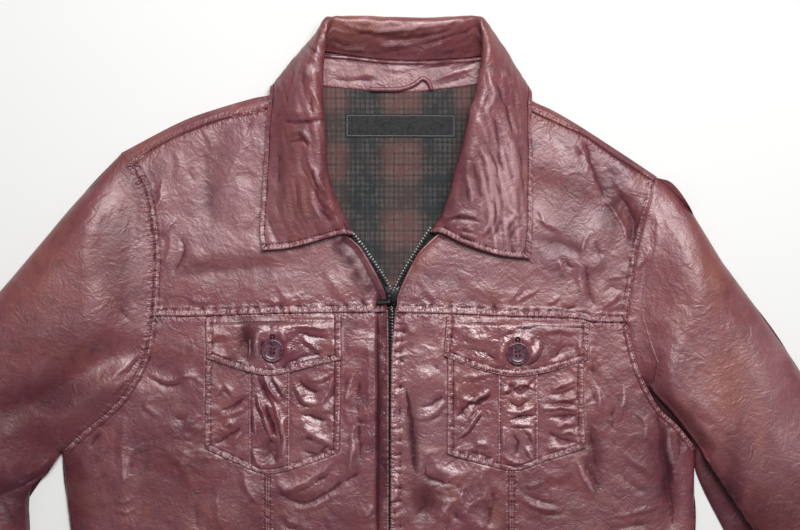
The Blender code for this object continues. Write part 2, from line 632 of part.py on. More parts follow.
def sleeves():
    graded = np.array([0, 0.02, 0.08, 0.2, 0.38, 0.6, 0.8, 0.92, 0.98, 1])
    inner = join(arm_hole("left"), curve(SLEEVE_IN_LEFT, 8))
    outer = curve(SLEEVE_OUT_LEFT, len(inner) - 1)
    outer[0] += (-3.0, -3.2)
    long_row = np.clip(np.linalg.norm(inner - outer, axis=1) / 100, 0, 1)[:, None]
    shares = graded * long_row + np.linspace(0, 1, len(graded)) * (1 - long_row)
    rows = outer[:, None] + (inner - outer)[:, None] * shares[..., None]
    front_sheet("sleeve_top_left", rows[::-1])
    flat_sheet("sleeve_under_left", rows[::-1, ::3])
    inner = join(arm_hole("right"), curve(SLEEVE_IN_RIGHT, 8))
    outer = curve(SLEEVE_OUT_RIGHT, len(inner) - 1)
    outer[0] += (3.0, -1.8)
    share_fold = np.array([fold_share(a, b) for a, b in zip(outer, inner)])[:, None]
    long_row = np.clip(np.linalg.norm(inner - outer, axis=1) / 100, 0, 1)[:, None]
    share_out = np.array([0, 0.03, 0.12, 0.3, 0.6, 0.88, 1])
    share_out = share_out * long_row + np.linspace(0, 1, 7) * (1 - long_row)
    share_in = np.array([0.45, 1])[None]
    shares = np.hstack([share_out * share_fold, share_fold + (1 - share_fold) * share_in])
    rows = outer[:, None] + (inner - outer)[:, None] * shares[..., None]
    front_sheet("sleeve_top_right", rows[::-1, ::-1])
    plain = outer[:, None] + (inner - outer)[:, None] * np.linspace(0, 1, 4)[None, :, None]
    flat_sheet("sleeve_under_right", plain[::-1, ::-1])


def cuff(name, seam, end):
    """A flat tube: the sleeve's last 48 mm."""
    along = np.array(end, float) - np.array(seam, float)
    along /= np.linalg.norm(along, axis=1, keepdims=True)
    shares = np.array([0, 0.03, 0.1, 0.25, 0.5, 0.75, 0.9, 0.97, 1])
    loops = []
    for row in (np.array(seam, float) + along * 0.3, (np.array(seam, float) + end) / 2, np.array(end, float)):
        across = row[0] + (row[1] - row[0]) * shares[:, None]
        over = surface(across)
        over[[0, -1], 2] = EDGE_Z
        under = over[::-1].copy()
        under[:, 2] = 0
        width = (row[1] - row[0]) / np.linalg.norm(row[1] - row[0])
        low = np.array([row[0] + width * 1.2, row[1] - width * 1.2])
        under[0, :2], under[-1, :2] = low[1], low[0]
        outer = np.vstack([over, under])
        ahead = np.roll(outer, -1, axis=0) - np.roll(outer, 1, axis=0)
        forward = np.array([*along[0], 0])
        inward = np.cross(forward, ahead)
        inward /= np.linalg.norm(inward, axis=1, keepdims=True)
        centre = outer.mean(axis=0)
        if ((centre - outer) * inward).sum() < 0:
            inward = -inward
        loops.append((outer, outer + inward * LEATHER))
    bm = bmesh.new()
    verts = [[[bm.verts.new(point * MM) for point in ring] for ring in pair] for pair in loops]
    count = len(loops[0][0])
    for k in range(count):
        after = (k + 1) % count
        for (out_a, in_a), (out_b, in_b) in zip(verts, verts[1:]):
            bm.faces.new((out_a[k], out_a[after], out_b[after], out_b[k]))
            bm.faces.new((in_a[after], in_a[k], in_b[k], in_b[after]))
        bm.faces.new((verts[0][0][after], verts[0][0][k], verts[0][1][k], verts[0][1][after]))
        bm.faces.new((verts[-1][0][k], verts[-1][0][after], verts[-1][1][after], verts[-1][1][k]))
    bmesh.ops.triangulate(bm, faces=bm.faces[:])
    bmesh.ops.recalc_face_normals(bm, faces=bm.faces[:])
    mesh = bpy.data.meshes.new(name)
    bm.to_mesh(mesh)
    bm.free()
    add_object(name, mesh, "leather")


def flap_offset(grid, middle):
    x, y = grid[..., 0], grid[..., 1]
    over_strip = smooth((46 - np.abs(x - middle)) / 22)
    return 1.5 + (1.5 + 1.5 * over_strip) * smooth((-16 - y) / 7)


def pocket(side, plan, flap):
    left = curve(plan["left"][::-1], 6)
    right = curve(plan["right"][::-1], 6)
    middle = sum(plan["strip"]) / 2
    bottom = curve(plan["bottom"], 8)
    grid = patch(bottom, right, line(left[-1], right[-1], 8), left)
    front_sheet("pocket_" + side, grid, 1.5)
    x0, x1 = plan["strip"]
    low = [np.interp(x, bottom[:, 0], bottom[:, 1]) + 1.2 for x in (x0, middle, x1)]
    strip = patch(
        curve([(x0, low[0]), (middle, low[1]), (x1, low[2])], 2),
        line((x1, low[2]), (x1, -33), 6),
        line((x0, -33), (x1, -33), 2),
        line((x0, low[0]), (x0, -33), 6),
    )
    front_sheet("pocket_strip_" + side, strip, 3.0)
    bottom, top = curve(flap["bottom"], 10), curve(flap["top"], 10)
    cover = patch(bottom, curve(flap["right"], 5), top, curve(flap["left"], 5))
    front_sheet("flap_" + side, cover, flap_offset(inset(cover), middle))
    button("pocket_button_" + side, plan["button"])


# Button section, mm: radius, height.
BUTTON_SECTION = [
    (0, 0), (6.2, 0), (9.3, 0.5), (10, 1.3), (10, 2.0), (9.2, 2.9), (8.0, 3.0), (6.9, 2.2),
    (3, 1.9), (0, 1.9),
]


def button(name, centre):
    turns = np.arange(0, 6.2, 0.5)
    around = np.array(centre) + BUTTON_RADIUS * np.stack([np.cos(turns), np.sin(turns)], axis=1)
    level = surface(around, 4.5)[:, 2].max() + GAP
    mesh = bpy.data.meshes.new(name)
    points = [(radius * MM, 0, z * MM) for radius, z in BUTTON_SECTION]
    mesh.from_pydata(points, [(k, k + 1) for k in range(len(points) - 1)], [])
    made = add_object(name, mesh, "horn")
    made.location = (centre[0] * MM, centre[1] * MM, level * MM)
    turn = made.modifiers.new("turn", "SCREW")
    turn.steps = turn.render_steps = 40
    turn.use_merge_vertices = True
    turn.merge_threshold = 1e-5
    turn.use_normal_calculate = True
    for k in range(4):
        angle = math.radians(90 * k)
        spot = (centre[0] + 2.5 * math.cos(angle), centre[1] + 2.5 * math.sin(angle), level + 1.5)
        bpy.ops.mesh.primitive_cylinder_add(
            vertices=16, radius=0.95 * MM, depth=8 * MM, location=[value * MM for value in spot]
        )
        cut(made, bpy.context.object, "hole_%d" % k)


def cut(target, cutter, name, operation="DIFFERENCE"):
    for owner in cutter.users_collection:
        owner.objects.unlink(cutter)
    bpy.data.collections["cutters"].objects.link(cutter)
    cutter.hide_render = True
    cutter.display_type = "WIRE"
    boolean = target.modifiers.new(name, "BOOLEAN")
    boolean.object = cutter
    boolean.operation = operation
    boolean.solver = "EXACT"


def box(x0, x1, y0, y1, z0, z1):
    middle = ((x0 + x1) / 2 * MM, (y0 + y1) / 2 * MM, (z0 + z1) / 2 * MM)
    bpy.ops.mesh.primitive_cube_add(size=1, location=middle)
    made = bpy.context.object
    made.scale = ((x1 - x0) * MM, (y1 - y0) * MM, (z1 - z0) * MM)
    bpy.ops.object.transform_apply(location=False, rotation=False, scale=True)
    return made


def settle(made, name, slot):
    made.name = name
    made.data.name = name
    made.data.materials.append(material(slot, *MATERIALS[slot]))
    for owner in made.users_collection:
        owner.objects.unlink(made)
    bpy.data.collections[NAME].objects.link(made)


CHAIN_LEFT = [
    (0, -429), (-0.9, -200), (0.6, -44), (0.9, -3.4), (0.6, 3), (-0.9, 11.7), (-9.7, 26.6),
    (-27.9, 52.5), (-36, 62),
]
CHAIN_RIGHT = [
    (0, -429), (-0.9, -200), (0.6, -44), (0.9, -3.4), (1.3, 3), (4.7, 13.1), (13.3, 29.4),
    (30.6, 57.3), (37, 66),
]
# Section of a tape with its teeth, mm: distance from the meeting line, depth below the leather's outer face.
CHAIN_SECTION = [
    (0.2, -1.7), (3.6, -1.7), (3.6, -2.0), (8.5, -2.0), (8.5, -3.0), (3.6, -3.0), (3.6, -3.5),
    (0.2, -3.5),
]


def zip_chain(name, path, side):
    path = np.vstack([curve(path[:4], 12), curve(path[3:], 12)[1:]])
    ahead = np.gradient(path, axis=0)
    ahead /= np.linalg.norm(ahead, axis=1, keepdims=True)
    sideways = np.stack([-ahead[:, 1], ahead[:, 0]], axis=1) * side
    rings = []
    for point, out in zip(path, sideways):
        level = height(np.array([point]))[0]
        rings.append(np.array([[*(point + out * reach), level + depth] for reach, depth in CHAIN_SECTION]))
    loft(name, rings, "zip_tape")


def zip_slider():
    level = height(np.array([[1.0, 4.0]]))[0]
    body = box(-5.8, 7.7, -4.8, 12.4, level + 0.4, level + 1.7)
    settle(body, "zip_slider", "gunmetal")
    parts = [
        (0.8, 2.5, 9.2, 12.2, level - 5.0, level + 0.6),
        (-4.6, 6.4, -4.8, 12.2, level - 5.4, level - 4.0),
        (-2.4, 4.4, -4.8, 4.5, level - 1.3, level + 0.6),
        (0.4, 1.6, -4.7, -3.6, level + 1.2, PULL_AXIS[2] + 0.6),
        (0.4, 1.6, 8.6, 9.8, level + 1.2, PULL_AXIS[2] + 0.6),
    ]
    for number, extents in enumerate(parts):
        cut(body, box(*extents), "join_%d" % number, "UNION")
    bpy.ops.mesh.primitive_cylinder_add(
        vertices=16, radius=0.6 * MM, depth=14.3 * MM, rotation=(math.pi / 2, 0, 0)
    )
    bar = bpy.context.object
    bar.location = (PULL_AXIS[0] * MM, 2.55 * MM, PULL_AXIS[2] * MM)
    bpy.ops.object.transform_apply(location=False, rotation=True, scale=True)
    cut(body, bar, "bar", "UNION")


def zip_pull_tab():
    x, y, z = PULL_AXIS
    tab = box(x - 13.2, x + 1.8, y - 2.2, y + 2.2, z - 1.65, z - 0.85)
    settle(tab, "zip_pull_tab", "gunmetal")
    cut(tab, box(x - 3.2, x + 0.9, y - 1.1, y + 1.1, z - 3, z + 1), "eye")
    bevel = tab.modifiers.new("edges", "BEVEL")
    bevel.width = 0.15 * MM
    bevel.segments = 1
    bevel.limit_method = "ANGLE"
    bpy.context.view_layer.update()
    # The origin stands on the hinge axis.
    shift = np.array([x * MM, y * MM, z * MM]) - np.array(tab.location)
    for vert in tab.data.vertices:
        vert.co = np.array(vert.co) - shift
    tab.location = (x * MM, y * MM, z * MM)


def collar():
    rows = []
    for row in COLLAR:
        shares = [0, 0.11, 0.21, 0.29, 0.37, 0.45, 0.56, 0.7, 0.85, 1]
        rows.append(arc_samples(row, shares))
    grid = np.array(rows)
    grid[..., 2] = np.maximum(grid[..., 2], 0)
    grid[..., 2] = np.where(grid[..., 2] < 2, np.maximum(2 * grid[..., 2] - 2, 0), grid[..., 2])
    bent_sheet("collar", grid, COLLAR_WALL)


def inside():
    """What shows in the open neck: facing, lining, label and hanger loop."""
    seam = curve([(-60, 218.9)] + NECK_BACK[1:-1] + [(81, 216.3)], 8) - (0, 0.3)
    lower = curve([(-66, 190.2), (-40.3, 187.6), (9.4, 184.1), (54.6, 188), (84, 192.4)], 8)
    facing = patch(lower, line(lower[-1], seam[-1], 2), seam, line(lower[0], seam[0], 2))
    flat_sheet("neck_facing", facing, LEATHER + GAP, slot="leather", start=LINING_RISE)
    left = curve([(-34, -6), (-56, 52), (-66, 110), (-66, 190.2)], 9)
    right = curve([(38, -6), (58, 52), (76, 110), (84, 192.4)], 9)
    lining = patch(line((-34, -6), (38, -6), 8), right, lower, left)
    flat_sheet("lining_back", lining, LEATHER + GAP, LINING, "lining", LINING_RISE)
    label = patch(
        line((-40.3, 144.6), (57.3, 144.3), 4),
        line((57.3, 144.3), (57.3, 164.6), 2),
        line((-40.3, 164.9), (57.3, 164.6), 4),
        line((-40.3, 144.6), (-40.3, 164.9), 2),
    )
    flat_sheet("label", label, LEATHER + LINING + 2 * GAP, 1.0, "label_weave", LINING_RISE)
    path = curve([(-19, 187.5), (-8, 187.2), (10, 187), (22, 192), (29.2, 197), (33.5, 193), (36, 187.6)], 12)
    ahead = np.gradient(path, axis=0)
    ahead /= np.linalg.norm(ahead, axis=1, keepdims=True)
    sideways = np.stack([-ahead[:, 1], ahead[:, 0]], axis=1) * 2.0
    strap = np.stack([path - sideways, path + sideways], axis=0)
    base = lift(strap, LINING_RISE) + 2 * (LEATHER + GAP)
    under = np.concatenate([strap, base[..., None]], axis=-1)
    sheet("hanger_loop", under + (0, 0, 1.0), under)


def main():
    for old in list(bpy.data.objects):
        bpy.data.objects.remove(old, do_unlink=True)
    for name in (NAME, "cutters"):
        bpy.context.scene.collection.children.link(bpy.data.collections.new(name))
    body_fronts()
    waistband()
    back_panel()
    back_yoke()
    sleeves()
    cuff("cuff_left", [(-455, -386), (-333, -386)], [(-452.2, -434), (-337.2, -434)])
    cuff("cuff_right", [(561.4, -382.3), (464, -443.2)], [(586.8, -423), (489.4, -484.1)])
    pocket("left", POCKET_LEFT, FLAP_LEFT)
    pocket("right", POCKET_RIGHT, FLAP_RIGHT)
    zip_chain("zip_chain_left", CHAIN_LEFT, 1)
    zip_chain("zip_chain_right", CHAIN_RIGHT, -1)
    zip_slider()
    zip_pull_tab()
    collar()
    inside()


main()
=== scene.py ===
"""Dresses the packed leather jacket: hides, seams, stitches, zip, buttons, lining and the stage."""

import math
from functools import partial

import bpy
import numpy as np
from bpy.props import FloatProperty, FloatVectorProperty, PointerProperty
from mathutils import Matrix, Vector


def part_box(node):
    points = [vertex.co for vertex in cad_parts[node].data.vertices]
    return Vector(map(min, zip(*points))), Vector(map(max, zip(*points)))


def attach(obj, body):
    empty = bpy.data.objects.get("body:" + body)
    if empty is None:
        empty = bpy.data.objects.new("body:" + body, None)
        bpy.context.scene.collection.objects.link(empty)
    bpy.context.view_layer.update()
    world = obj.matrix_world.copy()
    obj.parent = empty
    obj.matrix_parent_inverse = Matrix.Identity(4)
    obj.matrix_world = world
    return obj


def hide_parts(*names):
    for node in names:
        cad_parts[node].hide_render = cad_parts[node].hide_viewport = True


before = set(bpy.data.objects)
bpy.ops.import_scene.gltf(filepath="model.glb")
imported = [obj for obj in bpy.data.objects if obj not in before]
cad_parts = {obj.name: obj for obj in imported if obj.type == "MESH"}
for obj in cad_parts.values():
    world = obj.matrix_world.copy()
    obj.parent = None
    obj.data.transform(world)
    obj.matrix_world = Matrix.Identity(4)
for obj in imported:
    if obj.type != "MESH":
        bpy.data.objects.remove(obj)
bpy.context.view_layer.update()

bl_info = {
    "name": "Leather Jacket",
    "version": (1, 0, 0),
    "blender": (4, 5, 0),
    "location": "View3D > Sidebar > Jacket",
    "description": "Builds a worn leather jacket, laid flat, round its packed frame",
    "category": "Object",
}

MM = 0.001
# The stage, m: where the camera looks, the height of what it frames, and where the lamps stand.
VIEW_CENTRE = (0.008, 0.031)
CLOTH_TOP = 0.012
LAMP_PLACE = (0.22, 0.74, 1.52)
SENSOR_MM = 36
BODY = "jacket"
TAB_BODY = "pull_tab"

# Walls and heights of the laid jacket, mm.
LEATHER = 1.1
RIM_Z = 0.5
EDGE_Z = 3.2
SHOULDER_RISE = 2.8
BODY_Z = 10.6
NECK_LIFT = 3.2
NECK_RISE_Y = 146.0
LINING_RISE_Y = 112.0
SLEEVE_PUFF = 22.0
CUFF_PUFF = 11.0
HEM_Y = -430.0
BAND_Y = -385.0
PULL_AXIS = (1.0, -1.0, 15.0)
HEM_X = {"left": -262, "right": 255}
# How far the pockets and their strips lie above the fronts, and the strips' upper end, mm.
POCKET_RISE = 1.6
STRIP_RISE = 2.9
STRIP_TOP = -33.0
# Stitch rows, mm from their edges.
POCKET_ROW = 5.2
STRIP_ROW = 1.8
FLAP_ROWS = {"left": (5.6,), "right": (1.5, 5.6)}
FLAP_TOP_ROW = 5.0
COLLAR_ROW = 5.0
# Where the grids get coarse, out of view, mm: along a sleeve, and up from a panel's hem.
SLEEVE_SHOWN = 385
PANEL_HIDDEN = 178

# Plan curves, mm: (x, y). "left" lies at -X, the wearer's right.
TOP = {
    "left": [(-239.8, 130.1), (-188, 157.2), (-154, 169.6), (-122, 178.6), (-104, 182.5), (-84, 196), (-64, 219.5)],
    "right": [(236, 109), (211.2, 125.7), (166, 154.9), (143, 168), (122, 178), (104, 196), (86, 217)],
}
SHOULDER_SEAM = {
    "left": [(-229.5, 119.5), (-210.6, 134.5), (-188, 146), (-149.6, 160.5), (-118, 167), (-95, 178), (-73, 203)],
    "right": [(233, 106), (200, 126.5), (170.5, 146.2), (136.6, 161.7), (118, 171), (102, 184), (91, 203)],
}
ARM_HOLE = {
    "left": [(-229.5, 119.5), (-217.5, 95), (-211.7, 62.3), (-209.5, 31), (-212, -14.2)],
    "right": [(233, 106), (230.1, 89.4), (220.2, 55.8), (214.2, 17.7), (209, -20)],
}
ARM_PIT = {
    "left": [(-212, -14.2), (-219.6, -52.6), (-239.9, -88.7), (-276.1, -120.4), (-292.9, -136.1)],
    "right": [(209, -20), (219, -59.3), (236, -93.2), (254, -111.2), (270.8, -131.6)],
}
FLANK = {
    "left": [(-292.9, -136.1), (-290.7, -161.1), (-285.5, -203.6), (-275, -300), (-266, -385)],
    "right": [(270.8, -131.6), (269.5, -161.1), (270.8, -203.6), (264, -300), (257, -385)],
}
SLEEVE_OUT = {
    "left": [
        *((-239.8, 130.1), (-278.3, 89.4), (-346, 9.7), (-416.8, -75.2)),
        *((-452, -160), (-459.3, -230.1), (-455, -386)),
    ],
    "right": [(236, 109), (255.1, 97.4), (296.9, 31), (346.7, -36.7), (406.2, -132.8), (561.4, -382.3)],
}
SLEEVE_IN = {
    "left": [(-292.9, -136.1), (-306, -155), (-321.3, -172), (-321, -230), (-325, -310), (-333, -386)],
    "right": [(270.8, -131.6), (272, -155), (295.6, -203.6), (335.4, -274.4), (406.2, -385), (464, -443.2)],
}
# The cuffs' outer and inner corners.
CUFF_END = {"left": [(-452.2, -434), (-337.2, -434)], "right": [(586.8, -423), (489.4, -484.1)]}
SLEEVE_FOLD = [
    *((224.8, -70.8), (243.3, -88.5), (259.3, -107.8), (289, -151.3)),
    *((323.6, -203.6), (362, -261.1), (462, -424)),
]
NECK = {
    "left": [(-41, 58), (-51, 77), (-61, 101), (-66, 127), (-69, 155), (-73, 203)],
    "right": [(42, 59.5), (58, 88), (66, 114), (74, 140), (81, 165), (91, 203)],
}
FRONT_EDGE = {
    "left": [(-2.6, -10.9), (-3.4, -3), (-4.6, 6), (-14.6, 26.6), (-25, 44.3), (-33.5, 53.2), (-41, 58)],
    "right": [(3.2, -11), (4.8, -3), (6.1, 5.4), (18.1, 31.3), (26.7, 44.8), (42, 59.5)],
}
YOKE_SIDE = {
    "left": [(-212, -14.2), (-165.5, -14.2), (-109.3, -12.2)],
    "right": [(209, -20), (180, -19.6), (168, -17), (143.4, -15.6), (106.9, -14.6)],
}
YOKE_CENTRE = {
    "left": [(-109.3, -12.2), (-60, -11.4), (-2.6, -10.9)],
    "right": [(106.9, -14.6), (53.1, -12.4), (3.2, -11)],
}
EDGE = {
    "left": [(-2.6, -10.9), (-2.1, -44), (-2.0, -90), (-2.1, -140), (-1.9, -385)],
    "right": [(3.2, -11), (2.1, -26), (0.5, -42), (-0.1, -70), (-0.5, -140), (-0.3, -385)],
}
PANEL_SEAM = {"left": [(-109.3, -385), (-109.3, -12.2)], "right": [(106.9, -385), (106.9, -14.6)]}
WAIST = {"left": [(-266, -385), (-1.6, -385)], "right": [(257, -385), (1.6, -385)]}
NECK_BACK = [(-64, 219.5), (-38, 217.3), (-10, 214), (14, 212.8), (40, 213.3), (62, 214.5), (86, 217)]

POCKET = {
    "left": {
        "left": [(-163, -24), (-164.3, -80), (-164.8, -131.6)],
        "bottom": [(-164.8, -131.6), (-138.3, -144), (-110.1, -154.6), (-75.2, -146.3), (-45.8, -135)],
        "right": [(-44.6, -24), (-44.7, -80), (-45.8, -135)],
        "strip": (-125.5, -89.7),
        "button": (-104.6, -44.7),
    },
    "right": {
        "left": [(50.2, -24), (50, -80), (49.6, -136.3)],
        "bottom": [(49.6, -136.3), (75.7, -144), (109.6, -151.3), (140, -142), (172.6, -131)],
        "right": [(172, -26), (170.5, -80), (172.6, -131)],
        "strip": (95.0, 130.0),
        "button": (112.0, -47.3),
    },
}
FLAP = {
    "left": {
        "top": [(-164.3, -15.6), (-104, -13.6), (-44.6, -12.4)],
        "left": [(-163.2, -51.3), (-164.3, -15.6)],
        "bottom": [(-163.2, -51.3), (-138.3, -60.4), (-106.5, -66.8), (-75.2, -60.4), (-43.5, -52.6)],
        "right": [(-43.5, -52.6), (-44.6, -12.4)],
    },
    "right": {
        "top": [(49.6, -13.8), (112, -16.2), (175.1, -20)],
        "left": [(46.7, -49.5), (49.6, -13.8)],
        "bottom": [(46.7, -49.5), (72.1, -59.7), (106.5, -67.5), (137.4, -64), (175.5, -52.6)],
        "right": [(175.5, -52.6), (175.1, -20)],
    },
}

# Large folds of the cut, mm: x0, y0, x1, y1, half width, height.
FOLDS = [
    (-236, -40, -350, -108, 20, -5.0),
    (-232, -66, -306, -128, 18, 4.0),
    (-300, -150, -378, -190, 20, -4.0),
    (-345, 0, -430, -110, 26, 3.0),
    (-372, -230, -402, -360, 28, -4.0),
    (176, 140, 216, 64, 16, -2.6),
    (236, -118, 250, -215, 15, -2.4),
    (170, 20, 186, 70, 16, 1.6),
    (-226, -70, -185, -62, 18, -1.4),
    (-60, -230, -74, -340, 18, 1.4),
    (-190, -210, -214, -330, 24, -1.8),
    (170, -200, 196, -340, 24, 1.6),
    (60, -220, 70, -350, 20, -1.4),
    (300, 10, 372, -120, 24, -3.0),
    (372, -150, 470, -310, 26, 3.0),
]

